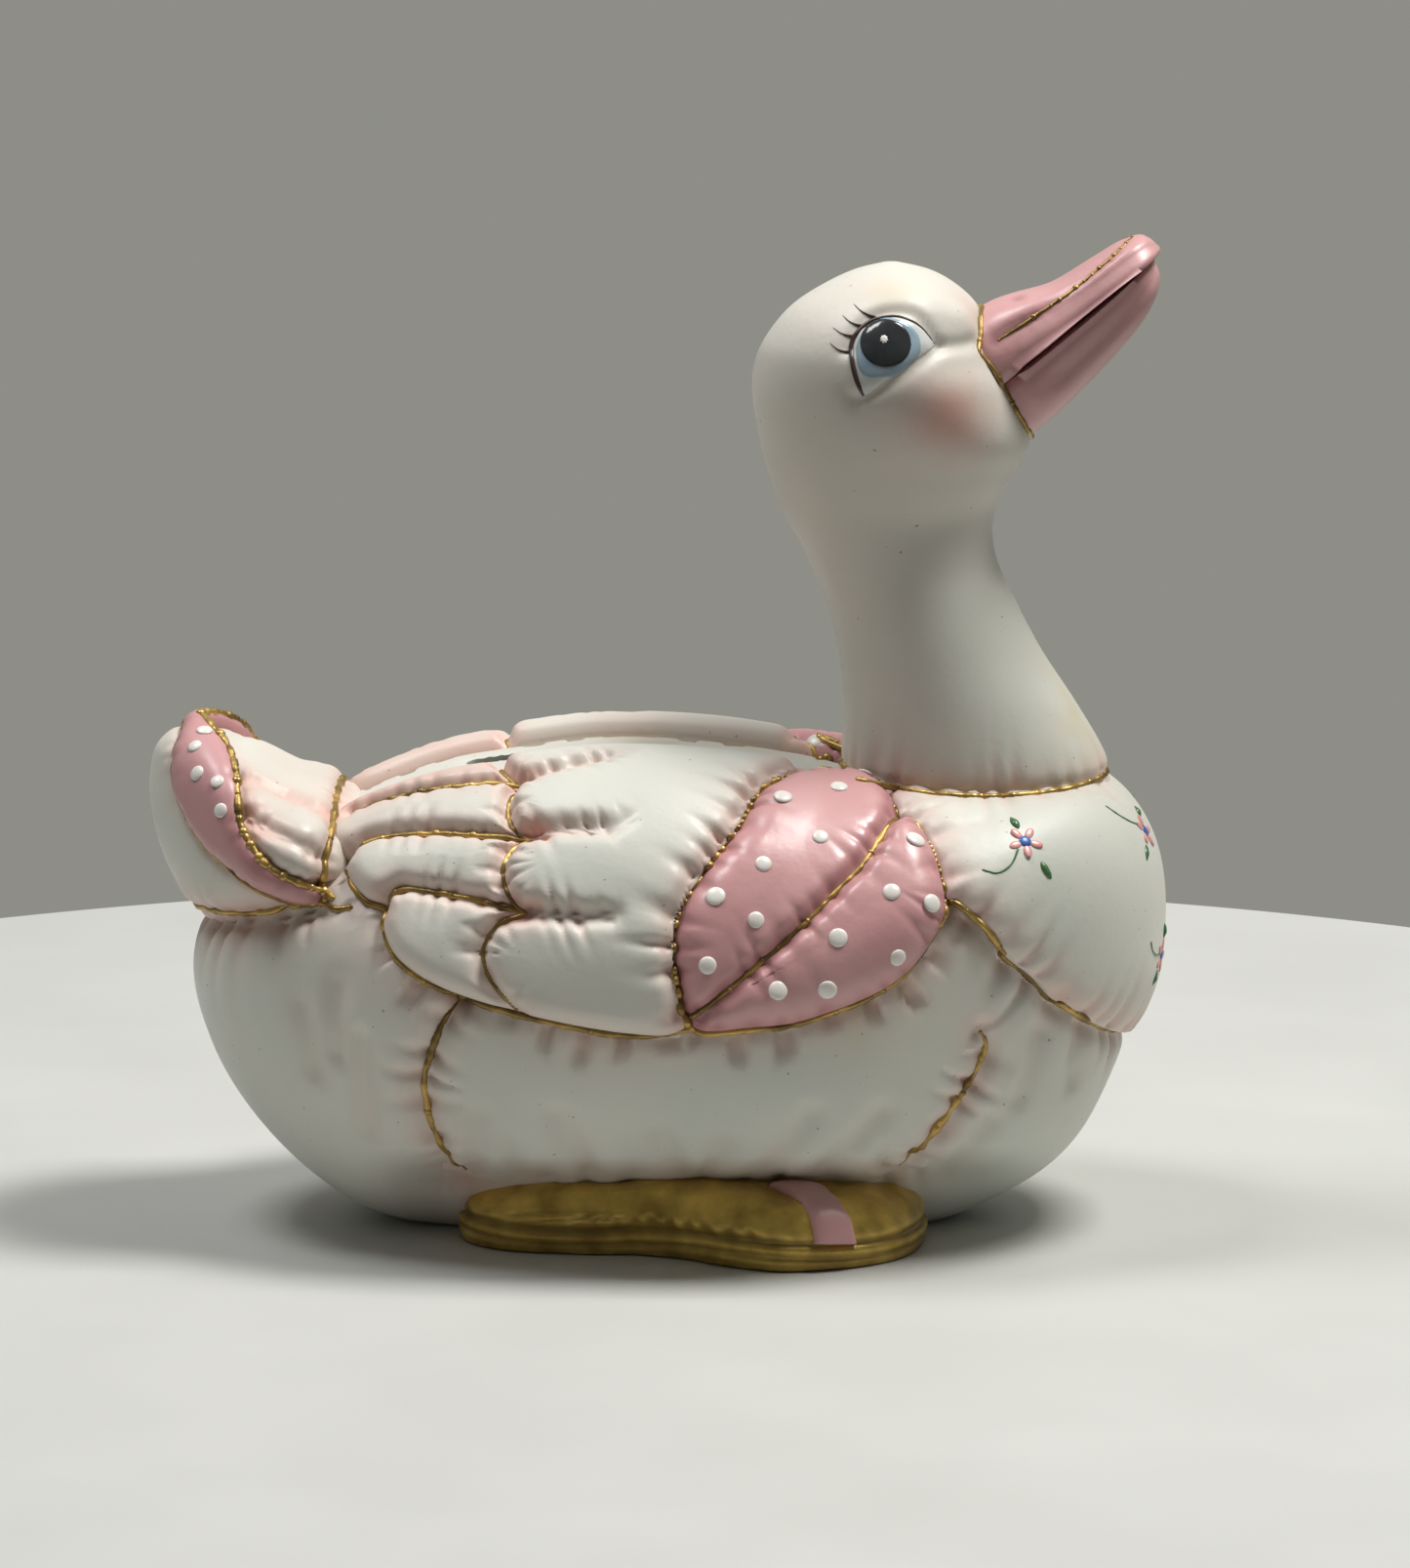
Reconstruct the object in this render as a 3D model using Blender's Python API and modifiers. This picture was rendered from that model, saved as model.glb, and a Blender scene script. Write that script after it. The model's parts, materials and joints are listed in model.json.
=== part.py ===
"""Patchwork duck money bank: a hollow cast figure with luted panels and a rubber stopper.

The duck looks along +X, and its right side is at -Y. The origin is under the middle of the figure,
on the surface that it stands on. Sizes and outlines are in millimetres and become metres in mesh_object.
"""
from bisect import bisect_right
from math import atan2, copysign, cos, hypot, pi, sin

import bmesh
import bpy
from mathutils import Matrix, Vector

MM = 0.001
COLLECTION = "duck_bank"

# How finely a ball is divided before it is shaped
FINE_BALL = 4
COARSE_BALL = 3

# Walls, gaps, how far each half of a patch is drawn back along X from their slanting seam to keep
# the gap, and how far each panel stands out of the body
WALL = 4.5
GAP = 0.3
SEAM_SHIFT = 0.225
BIB_RISE = 2.2
WING_RISE = 3.0
PATCH_RISE = 4.6
BAND_RISE = 1.4
STRAP_RISE = 1.3

# Body: its side outline (x, z) about a centre, and half its width; a cross-section is an ellipse at
# a fullness of 1, and squarer below that: the body is full across its back and round underneath
BODY_CENTRE = (3, 41)
BODY_HALF_WIDTH = 46
TOP_FULLNESS = 0.8
BOTTOM_FULLNESS = 1.0
BODY_OUTLINE = [
    (86, 52), (84, 67), (76, 76), (62, 78), (45, 78.5), (30, 79.3), (6, 82.8), (-20, 82.2),
    (-42, 78), (-60, 70), (-75, 60), (-81, 46), (-78, 32), (-69, 17), (-53, 3), (-30, -4),
    (0, -5), (30, -4.5), (57, 1.5), (73, 13.5), (82, 31),
]
CAVITY_FLOOR = 7

# Neck and head: level sections, as (height, back, front, half width)
NECK_SECTIONS = [
    (66, 31, 80, 21), (78, 31.1, 79.3, 20), (83, 32.3, 77.7, 19.6), (91, 32.5, 72.9, 18.5),
    (100, 31.6, 67, 17), (110, 28.9, 61.8, 15.8), (117, 25.8, 58.8, 15.6), (124, 22.2, 58.6, 16.4),
    (131, 19.6, 62, 18.7), (138, 17.9, 65, 20.8), (146, 16.8, 62.6, 22), (151.5, 17.6, 59.2, 21.4),
    (156.3, 20.3, 56.8, 19.6), (160.2, 23.8, 55.2, 16.8), (163.5, 28.8, 51.8, 12.8),
    (165.9, 33.8, 47.6, 8.2), (167.2, 38.6, 42.6, 3.4),
]
NECK_SIDES = 28

# Bill: its own frame starts in the mouth line at the root, and points forwards and up
BILL_ROOT = (61.4, 149.0)
BILL_TILT = 0.679
UPPER_BILL_SECTIONS = [
    (-12, 12, 10), (3.3, 11.5, 11.4), (8.2, 10, 11.4), (14.5, 7.3, 10.8), (22.5, 6.2, 10.2),
    (28.2, 5.5, 8.4), (31.2, 4.4, 5.6), (32.3, 2.9, 2.6),
]
LOWER_BILL_SECTIONS = [
    (-12, 11, 8.8), (2.6, 10.7, 10.4), (11, 9.8, 10.2), (21, 8, 9.4), (26.6, 5.9, 7.8),
    (29.4, 3.8, 5), (30.3, 2, 2.4),
]
BILL_SIDES = 14
BILL_FULLNESS = 0.8

# Tail: side outline about a centre; it is wide at the body and narrow at the tip
TAIL_CENTRE = (-68, 70)
TAIL_OUTLINE = [
    (-50, 62), (-62, 54), (-79.7, 54), (-84.5, 61), (-87.4, 70), (-87.9, 78), (-86.3, 84),
    (-79.6, 87.4), (-70, 82.8), (-62, 78.8), (-52, 74),
]
TAIL_WIDE = (-50, 41)
TAIL_NARROW = (-88, 16)
TAIL_FULLNESS = 0.9
TAIL_CAVITY_SHARE = 0.7
TAIL_SIDE_WALL = 10
BAND_OUTLINE = [
    (-82.5, 100), (-82.5, 88), (-84, 81), (-81.8, 74), (-78, 69.8), (-68.4, 63.4), (-59.8, 60.4),
    (-50, 59), (-50, 61.5), (-57, 63.6), (-65.5, 67.6), (-70, 74), (-71.8, 82), (-73.2, 88),
    (-73.2, 100),
]

# Wings and patches: outlines as (x, girth), where girth is the distance round the body from the
# level of its long axis, measured GIRTH_RADIUS away from that axis
AXIS_HEIGHT = 45
GIRTH_RADIUS = 50
WING_OUTLINE = [
    (-54.5, 40), (-52, 34.5), (-48, 24), (-45.4, 20.5), (-44.2, 14.5), (-37.5, 6), (-23, 0.8),
    (-9, -2.5), (4, -3), (12, 3), (26, 11), (33, 28), (33, 46), (31, 58), (22, 62), (6, 62.5),
    (-12, 62.5), (-32, 61), (-47, 56),
]
PATCH_OUTLINE = [
    (6.7, -1.8), (3.4, 14), (5, 20.5), (13.6, 35.4), (18, 47.5), (26, 58.5), (34, 61.5), (39.2, 55),
    (41.8, 44), (45.3, 38.7), (48.5, 26), (48, 17.5), (40.4, 6.4), (26, -0.4), (16, -1.9),
]
PATCH_SEAM = [(54, 66), (41.8, 43.2), (36.2, 29.7), (31, 22.9), (22.9, 14.3), (7.9, 1.5), (-10, -14)]

# Bib: outline seen from the side, (x, z)
BIB_OUTLINE = [
    (49.6, 84), (49.6, 66), (54, 60), (59.5, 53.6), (64.2, 49), (68.2, 44.3), (76, 38.3),
    (83, 33.6), (96, 32), (96, 84),
]

# Slippers: outline on the floor as (x, distance from the middle plane), height, and the strap
SLIPPER_CENTRE = (10, 24)
SLIPPER_HEIGHT = 14
SLIPPER_FULLNESS = 0.55
SLIPPER_OUTLINE = [
    (47, 16), (45, 26), (40.5, 35.5), (32, 39.5), (22.6, 42.5), (15, 39), (8, 33), (-3, 28.5),
    (-13, 27), (-24, 22.5), (-31, 15), (-28, 9), (0, 8), (30, 8), (43, 9),
]
STRAP_OUTLINE = [(17.5, 18), (24, 16), (37.5, 45), (31, 48)]
STRAP_FLOOR = 5.5

# Coin slot along the crest of the back
SLOT_MIDDLE = -14
SLOT_LENGTH = 38
SLOT_WIDTH = 5
SLOT_TOP = 94
SLOT_DEPTH = 20
SLOT_END_STEPS = 6

# Stopper and its seat in the base
STOPPER_X = 3
HOLE_RADIUS = 13
SEAT_RADIUS = 16
SEAT_DEPTH = 3
FLANGE_HEIGHT = 2
PLUG_TOP = 10.5
PLUG_TAPER = 0.4
PLUG_WALL = 3
EDGE = 0.6
ROUND_SIDES = 48
PLUG_FLOOR = 1

# Cutters for wings and patches reach this many times as far from the body's axis as its skin, which
# is nowhere further out than the limit
CUT_SHARE = 1.7
CUT_LIMIT = 90.0

# A straight cutter reaches well past the figure's sides, and past any face that it cuts through
SIDE_REACH = 70
CUT_OVERLAP = 2

# Steps between two drawn points of a smooth outline, and how near a search for the skin comes to it
OUTLINE_STEPS = 3
SKIN_TOLERANCE = 0.001

# Points closer than this, in metres, are one point
MERGE_DISTANCE = 0.00001

CERAMIC = ((0.80, 0.77, 0.70), 0.42, 0.0)
ROSE = ((0.62, 0.32, 0.32), 0.32, 0.0)
GOLD = ((0.42, 0.28, 0.09), 0.30, 1.0)
RUBBER = ((0.16, 0.14, 0.12), 0.75, 0.0)


def clear_scene():
    """Remove every object that the file opens with."""
    for thing in list(bpy.data.objects):
        bpy.data.objects.remove(thing, do_unlink=True)


def new_collection(name):
    """Make a collection in the scene."""
    collection = bpy.data.collections.new(name)
    bpy.context.scene.collection.children.link(collection)
    return collection


def finish_material(name, finish):
    """Make the material of one part from its colour, roughness and metallic value."""
    colour, roughness, metallic = finish
    material = bpy.data.materials.new(name)
    material.use_nodes = True
    shader = material.node_tree.nodes["Principled BSDF"]
    shader.inputs["Base Color"].default_value = (*colour, 1.0)
    shader.inputs["Roughness"].default_value = roughness
    shader.inputs["Metallic"].default_value = metallic
    return material


def mesh_object(name, bm, collection, finish=None):
    """Turn a bmesh in millimetres into an object in metres; without a finish it is a cutter."""
    bmesh.ops.scale(bm, vec=(MM, MM, MM), verts=bm.verts)
    bmesh.ops.triangulate(bm, faces=bm.faces)
    bmesh.ops.recalc_face_normals(bm, faces=bm.faces)
    if bm.calc_volume(signed=True) < 0:
        bmesh.ops.reverse_faces(bm, faces=bm.faces)
    mesh = bpy.data.meshes.new(name)
    bm.to_mesh(mesh)
    bm.free()
    thing = bpy.data.objects.new(name, mesh)
    collection.objects.link(thing)
    if finish:
        mesh.shade_smooth()
        mesh.materials.append(finish_material(name, finish))
    else:
        thing.hide_render = True
        thing.display_type = "WIRE"
    return thing


def boolean(thing, operation, *cutters):
    """Cut, join or intersect an object with each cutter in turn."""
    for cutter in cutters:
        step = thing.modifiers.new(cutter.name, "BOOLEAN")
        step.operation = operation
        step.object = cutter
        step.solver = "EXACT"


def curve_through(places, values, place):
    """Read a smooth curve through (place, value) pairs; the places rise."""
    last = len(places) - 1
    i = min(max(bisect_right(places, place) - 1, 0), last - 1)

    def slope(k):
        before, after = max(k - 1, 0), min(k + 1, last)
        return (values[after] - values[before]) / (places[after] - places[before])

    span = places[i + 1] - places[i]
    t = (place - places[i]) / span
    rise = values[i + 1] - values[i]
    start, end = slope(i) * span, slope(i + 1) * span
    bend = start + end - 2 * rise
    return values[i] + t * (start + t * (3 * rise - 2 * start - end + t * bend))


def radius_about(centre, outline):
    """Give an outline's radius as a smooth function of the angle about a centre."""
    offsets = [(x - centre[0], y - centre[1]) for x, y in outline]
    polar = sorted((atan2(y, x), hypot(x, y)) for x, y in offsets)
    turns = [(a - 2 * pi, r) for a, r in polar[-3:]] + polar + [(a + 2 * pi, r) for a, r in polar[:3]]
    angles, radii = zip(*turns)
    return lambda angle: curve_through(angles, radii, angle)


def shaped_ball(outline, centre, half_depth, fullness, grow=0.0, detail=FINE_BALL):
    """Shape a ball by an outline in X and Z, with half_depth(x) in Y and fullness(angle) round it."""
    radius = radius_about(centre, outline)
    bm = bmesh.new()
    bmesh.ops.create_icosphere(bm, subdivisions=detail, radius=1)
    for vert in bm.verts:
        along, across, up = vert.co
        angle = atan2(up, along)
        power = fullness(angle)
        reach = radius(angle) * hypot(along, up) ** power
        x = centre[0] + reach * cos(angle)
        y = copysign(min(abs(across), 1.0) ** power, across) * half_depth(x)
        vert.co = (x, y, centre[1] + reach * sin(angle))
    bm.normal_update()
    shifts = [vert.normal * grow for vert in bm.verts]
    for vert, shift in zip(bm.verts, shifts):
        vert.co += shift
    return bm


def flatten_below(bm, height):
    """Cut a solid off at a height and close it with a flat face."""
    bm.normal_update()
    cut = bmesh.ops.bisect_plane(
        bm, geom=bm.verts[:] + bm.edges[:] + bm.faces[:], plane_co=(0, 0, height), plane_no=(0, 0, -1),
        clear_outer=True,
    )
    rim = [piece for piece in cut["geom_cut"] if isinstance(piece, bmesh.types.BMEdge)]
    bmesh.ops.edgeloop_fill(bm, edges=rim)
    return bm


def body_fullness(angle):
    """Blend the body's fullness from its back to its underside."""
    return (TOP_FULLNESS + BOTTOM_FULLNESS) / 2 + (TOP_FULLNESS - BOTTOM_FULLNESS) / 2 * sin(angle)


def body_ball(grow=0.0, detail=FINE_BALL):
    """The plump body, offset outwards by grow."""
    return shaped_ball(BODY_OUTLINE, BODY_CENTRE, lambda x: BODY_HALF_WIDTH, body_fullness, grow, detail)


def tail_ball(grow=0.0, share=1.0, wall=0.0, detail=FINE_BALL):
    """The tail, which narrows from the body to its tip; share and wall shrink it to its cavity."""
    middle_x, middle_z = TAIL_CENTRE
    offsets = [(x - middle_x, z - middle_z) for x, z in TAIL_OUTLINE]
    outline = [(middle_x + x * share, middle_z + z * share) for x, z in offsets]

    def half_width(x):
        along = (x - TAIL_NARROW[0]) / (TAIL_WIDE[0] - TAIL_NARROW[0])
        return TAIL_NARROW[1] + (TAIL_WIDE[1] - TAIL_NARROW[1]) * along - wall

    return shaped_ball(outline, TAIL_CENTRE, half_width, lambda angle: TAIL_FULLNESS, grow, detail)


def slipper_ball(side, grow=0.0):
    """One slipper, domed over its outline on the floor; side is -1 on the right."""
    bm = shaped_ball(
        SLIPPER_OUTLINE, SLIPPER_CENTRE, lambda x: SLIPPER_HEIGHT, lambda angle: SLIPPER_FULLNESS, grow)
    for vert in bm.verts:
        x, height, out = vert.co
        vert.co = (x, side * out, height)
    return bm


def loft(rings):
    """Join rings of points into a closed solid with flat ends."""
    bm = bmesh.new()
    rows = [[bm.verts.new(point) for point in ring] for ring in rings]
    for low, high in zip(rows, rows[1:]):
        for i, vert in enumerate(low):
            j = (i + 1) % len(low)
            bm.faces.new((vert, low[j], high[j], high[i]))
    bm.faces.new(reversed(rows[0]))
    bm.faces.new(rows[-1])
    return bm


def neck_loft(grow=0.0, floor=NECK_SECTIONS[0][0], narrowest=0.0):
    """The neck and head from level oval sections, offset by grow, from floor to the narrowest one."""
    rings = []
    for height, back, front, half_width in NECK_SECTIONS:
        middle = (back + front) / 2
        reach = (front - back) / 2 + grow
        width = half_width + grow
        if width < narrowest:
            break
        turns = [2 * pi * i / NECK_SIDES for i in range(NECK_SIDES)]
        level = height if rings else floor
        rings.append([(middle + reach * cos(a), width * sin(a), level) for a in turns])
    return loft(rings)


def bill_half(sections, direction):
    """Half a bill: direction 1 is above the mouth line and -1 below it."""
    rings = []
    for along, depth, half_width in sections:
        ring = []
        for i in range(BILL_SIDES + 1):
            turn = pi * i / BILL_SIDES
            out = half_width * copysign(abs(cos(turn)) ** BILL_FULLNESS, cos(turn))
            rise = direction * (GAP / 2 + (depth - GAP / 2) * sin(turn) ** BILL_FULLNESS)
            x = BILL_ROOT[0] + along * cos(BILL_TILT) - rise * sin(BILL_TILT)
            z = BILL_ROOT[1] + along * sin(BILL_TILT) + rise * cos(BILL_TILT)
            ring.append((x, out, z))
        rings.append(ring)
    return loft(rings)


def outline_prism(name, outline, low, high, collection, view="side", smooth=True):
    """Extrude a flat outline from low to high: along Y for a side view, along Z for a top view."""
    curve = bpy.data.curves.new(name, "CURVE")
    curve.dimensions = "2D"
    curve.fill_mode = "BOTH"
    curve.resolution_u = OUTLINE_STEPS
    curve.extrude = (high - low) / 2 * MM
    spline = curve.splines.new("BEZIER")
    spline.bezier_points.add(len(outline) - 1)
    for point, (x, y) in zip(spline.bezier_points, outline):
        point.co = (x * MM, y * MM, 0)
        handle = "AUTO" if smooth else "VECTOR"
        point.handle_left_type = handle
        point.handle_right_type = handle
    spline.use_cyclic_u = True
    drawn = bpy.data.objects.new(name, curve)
    collection.objects.link(drawn)
    middle = (low + high) / 2 * MM
    if view == "side":
        drawn.matrix_world = Matrix.Translation((0, middle, 0)) @ Matrix.Rotation(pi / 2, 4, "X")
    else:
        drawn.matrix_world = Matrix.Translation((0, 0, middle))
    bpy.context.view_layer.update()
    evaluated = drawn.evaluated_get(bpy.context.evaluated_depsgraph_get())
    mesh = bpy.data.meshes.new_from_object(evaluated)
    bm = bmesh.new()
    bm.from_mesh(mesh)
    bmesh.ops.remove_doubles(bm, verts=bm.verts, dist=MERGE_DISTANCE)
    bmesh.ops.transform(bm, matrix=drawn.matrix_world, verts=bm.verts)
    bmesh.ops.recalc_face_normals(bm, faces=bm.faces)
    bm.to_mesh(mesh)
    bm.free()
    bpy.data.objects.remove(drawn, do_unlink=True)
    prism = bpy.data.objects.new(name, mesh)
    collection.objects.link(prism)
    prism.hide_render = True
    prism.display_type = "WIRE"
    return prism


def grown(outline, distance):
    """Offset a closed outline outwards by a distance."""
    turning = sum(x0 * y1 - x1 * y0 for (x0, y0), (x1, y1) in zip(outline, outline[1:] + outline[:1]))
    side = copysign(distance, turning)
    result = []
    for i, (x, y) in enumerate(outline):
        before, after = outline[i - 1], outline[(i + 1) % len(outline)]
        run_x, run_y = after[0] - before[0], after[1] - before[1]
        length = hypot(run_x, run_y)
        result.append((x + side * run_y / length, y - side * run_x / length))
    return result


def spline(a, b, c, d, t):
    """Read the curve between b and c, which also passes through a and d, at a share t of the way."""
    return b + t * ((c - a) / 2 + t * (a - 2.5 * b + 2 * c - d / 2 + t * (1.5 * (b - c) + (d - a) / 2)))


def smooth_loop(points):
    """Read a smooth closed curve through points."""
    result = []
    last = len(points)
    for i, here in enumerate(points):
        before, after, beyond = points[i - 1], points[(i + 1) % last], points[(i + 2) % last]
        for k in range(OUTLINE_STEPS):
            t = k / OUTLINE_STEPS
            result.append(tuple(spline(*numbers, t) for numbers in zip(before, here, after, beyond)))
    return result


def body_point(x, girth):
    """Find the point of the body's surface at (x, girth), on the left side."""
    turn = girth / GIRTH_RADIUS
    radius = radius_about(BODY_CENTRE, BODY_OUTLINE)
    low, high = 0.0, CUT_LIMIT
    while high - low > SKIN_TOLERANCE:
        reach = (low + high) / 2
        y, z = reach * cos(turn), AXIS_HEIGHT + reach * sin(turn)
        along, up = x - BODY_CENTRE[0], z - BODY_CENTRE[1]
        angle = atan2(up, along)
        power = 2 / body_fullness(angle)
        if (hypot(along, up) / radius(angle)) ** power + abs(y / BODY_HALF_WIDTH) ** power < 1:
            low = reach
        else:
            high = reach
    return Vector((x, y, z))


def area_cone(name, outline, side, collection):
    """A cutter that widens from a point on the body's axis through an (x, girth) outline on its skin."""
    lows, highs = [min(values) for values in zip(*outline)], [max(values) for values in zip(*outline)]
    middle = [(low + high) / 2 for low, high in zip(lows, highs)]
    bm = bmesh.new()
    tip = Vector((middle[0], 0, AXIS_HEIGHT))

    def beyond(x, girth):
        point = tip + (body_point(x, girth) - tip) * CUT_SHARE
        return bm.verts.new((point.x, side * point.y, point.z))

    apex = bm.verts.new(tip)
    hub = beyond(*middle)
    rim = [beyond(*point) for point in outline]
    for i, vert in enumerate(rim):
        neighbour = rim[(i + 1) % len(rim)]
        bm.faces.new((apex, vert, neighbour))
        bm.faces.new((hub, neighbour, vert))
    return mesh_object(name, bm, collection)


def rounded_slot(name, collection):
    """The coin slot's cutter: a box with round ends."""
    reach = (SLOT_LENGTH - SLOT_WIDTH) / 2
    half = SLOT_WIDTH / 2
    outline = []
    for end, start in ((1, -pi / 2), (-1, pi / 2)):
        for i in range(SLOT_END_STEPS + 1):
            turn = start + pi * i / SLOT_END_STEPS
            outline.append((SLOT_MIDDLE + end * reach + half * cos(turn), half * sin(turn)))
    return outline_prism(name, outline, SLOT_TOP - SLOT_DEPTH, SLOT_TOP, collection, "top", smooth=False)


def turned(name, profile, collection, finish=None):
    """Turn a profile of (radius, height), from the top of the axis down to its foot."""
    bm = bmesh.new()
    points = [bm.verts.new((radius, 0, height)) for radius, height in profile]
    for pair in zip(points, points[1:]):
        bm.edges.new(pair)
    thing = mesh_object(name, bm, collection, finish)
    thing.location.x = STOPPER_X * MM
    screw = thing.modifiers.new("turn", "SCREW")
    screw.steps = ROUND_SIDES
    screw.render_steps = ROUND_SIDES
    screw.use_merge_vertices = True
    screw.merge_threshold = MERGE_DISTANCE
    return thing


def patch_half(upper):
    """The (x, girth) outline of everything on one side of the patches' slanting seam."""
    shift = -upper * SEAM_SHIFT
    seam = [(x + shift, girth) for x, girth in PATCH_SEAM]
    far = CUT_LIMIT * upper
    return seam + [(seam[-1][0], far), (seam[0][0], far)]


def make_cutters(cutters):
    """Make every cutting solid, by name."""
    solids = {
        "body_core": body_ball(GAP),
        "body_cavity": flatten_below(body_ball(-WALL, COARSE_BALL), CAVITY_FLOOR),
        "neck_core": neck_loft(GAP),
        "neck_cavity": neck_loft(-WALL, NECK_SECTIONS[0][0] - CUT_OVERLAP, WALL),
        "tail_core": tail_ball(GAP),
        "tail_cavity": tail_ball(0, TAIL_CAVITY_SHARE, TAIL_SIDE_WALL, COARSE_BALL),
        "right_slipper_core": slipper_ball(-1, GAP),
        "left_slipper_core": slipper_ball(1, GAP),
    }
    made = {name: mesh_object(name, bm, cutters) for name, bm in solids.items()}
    made["bib_area"] = outline_prism("bib_area", BIB_OUTLINE, -SIDE_REACH, SIDE_REACH, cutters)
    made["band_area"] = outline_prism("band_area", BAND_OUTLINE, -SIDE_REACH, SIDE_REACH, cutters)
    made["coin_slot"] = rounded_slot("coin_slot", cutters)
    hole_top = CAVITY_FLOOR + CUT_OVERLAP
    hole = [
        (0, hole_top), (HOLE_RADIUS, hole_top), (HOLE_RADIUS, SEAT_DEPTH), (SEAT_RADIUS, SEAT_DEPTH),
        (SEAT_RADIUS, -CUT_OVERLAP), (0, -CUT_OVERLAP),
    ]
    made["stopper_hole"] = turned("stopper_hole", hole, cutters)
    wing, patch = smooth_loop(WING_OUTLINE), smooth_loop(PATCH_OUTLINE)
    for side, label in ((-1, "right"), (1, "left")):
        areas = {
            "wing_area": wing,
            "wing_gap": grown(wing, GAP),
            "patch_area": patch,
            "patch_gap": grown(patch, GAP),
            "upper_half": patch_half(1),
            "lower_half": patch_half(-1),
        }
        for area, outline in areas.items():
            name = label + "_" + area
            made[name] = area_cone(name, outline, side, cutters)
        strap = [(x, side * y) for x, y in STRAP_OUTLINE]
        name = label + "_strap_area"
        top = SLIPPER_HEIGHT + STRAP_RISE + CUT_OVERLAP
        made[name] = outline_prism(name, strap, STRAP_FLOOR, top, cutters, "top", smooth=False)
    return made


def make_body(parts, cut):
    """The hollow body with its foot, stopper hole, coin slot and openings to the neck and tail."""
    body = mesh_object("body_shell", flatten_below(body_ball(), 0), parts, CERAMIC)
    boolean(body, "DIFFERENCE", cut["body_cavity"], cut["neck_cavity"], cut["tail_cavity"])
    boolean(body, "DIFFERENCE", cut["coin_slot"], cut["stopper_hole"])
    bib = mesh_object("breast_bib", body_ball(BIB_RISE), parts, CERAMIC)
    boolean(bib, "INTERSECT", cut["bib_area"])
    boolean(bib, "DIFFERENCE", cut["body_core"], cut["neck_core"])
    boolean(bib, "DIFFERENCE", cut["right_patch_gap"], cut["left_patch_gap"])


def make_neck_and_bill(parts, cut):
    """The hollow neck and head, and the two halves of the bill."""
    neck = mesh_object("neck_and_head", neck_loft(), parts, CERAMIC)
    boolean(neck, "DIFFERENCE", cut["body_core"], cut["neck_cavity"])
    upper = mesh_object("upper_bill", bill_half(UPPER_BILL_SECTIONS, 1), parts, ROSE)
    boolean(upper, "DIFFERENCE", cut["neck_core"])
    lower = mesh_object("lower_bill", bill_half(LOWER_BILL_SECTIONS, -1), parts, ROSE)
    boolean(lower, "DIFFERENCE", cut["neck_core"])


def make_tail(parts, cut):
    """The hollow tail and the band that wraps over it."""
    tail = mesh_object("tail_shell", tail_ball(), parts, CERAMIC)
    boolean(tail, "DIFFERENCE", cut["body_core"], cut["tail_cavity"])
    boolean(tail, "DIFFERENCE", cut["right_wing_gap"], cut["left_wing_gap"])
    band = mesh_object("tail_band", tail_ball(BAND_RISE), parts, ROSE)
    boolean(band, "INTERSECT", cut["band_area"])
    boolean(band, "DIFFERENCE", cut["tail_core"], cut["body_core"])
    boolean(band, "DIFFERENCE", cut["right_wing_gap"], cut["left_wing_gap"])


def make_wing(side, label, parts, cut):
    """A wing and the two halves of its patch, on one side of the body."""
    wing = mesh_object(label + "_wing", body_ball(WING_RISE), parts, CERAMIC)
    boolean(wing, "INTERSECT", cut[label + "_wing_area"])
    boolean(wing, "DIFFERENCE", cut["body_core"], cut[label + "_patch_gap"])
    for half in ("upper", "lower"):
        patch = mesh_object(f"{label}_{half}_patch", body_ball(PATCH_RISE), parts, ROSE)
        boolean(patch, "INTERSECT", cut[label + "_patch_area"], cut[f"{label}_{half}_half"])
        boolean(patch, "DIFFERENCE", cut["body_core"])
        if half == "upper":
            boolean(patch, "DIFFERENCE", cut["neck_core"])


def make_slipper(side, label, parts, cut):
    """A slipper with a flat sole, and the strap across its toe."""
    slipper = mesh_object(label + "_slipper", flatten_below(slipper_ball(side), 0), parts, GOLD)
    boolean(slipper, "DIFFERENCE", cut["body_core"])
    strap = mesh_object(label + "_slipper_strap", slipper_ball(side, STRAP_RISE), parts, ROSE)
    boolean(strap, "INTERSECT", cut[label + "_strap_area"])
    boolean(strap, "DIFFERENCE", cut[label + "_slipper_core"], cut["body_core"])


def make_stopper(parts):
    """The rubber stopper: a flange in its seat and a hollow plug in the hole."""
    flange = SEAT_RADIUS - GAP
    plug = HOLE_RADIUS - GAP
    top = SEAT_DEPTH - GAP
    bottom = top - FLANGE_HEIGHT
    inside = plug - PLUG_WALL
    profile = [
        (0, top + PLUG_FLOOR), (inside - EDGE, top + PLUG_FLOOR), (inside, PLUG_TOP),
        (plug - PLUG_TAPER - EDGE, PLUG_TOP),
        (plug - PLUG_TAPER, PLUG_TOP - EDGE), (plug, top), (flange, top), (flange, bottom + EDGE),
        (flange - EDGE, bottom), (0, bottom),
    ]
    turned("stopper", profile, parts, RUBBER)


def main():
    """Build the bank."""
    clear_scene()
    parts = new_collection(COLLECTION)
    cutters = new_collection("cutters")
    cutters.hide_render = True
    cut = make_cutters(cutters)
    make_body(parts, cut)
    make_neck_and_bill(parts, cut)
    make_tail(parts, cut)
    for side, label in ((-1, "right"), (1, "left")):
        make_wing(side, label, parts, cut)
        make_slipper(side, label, parts, cut)
    make_stopper(parts)


main()
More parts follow.
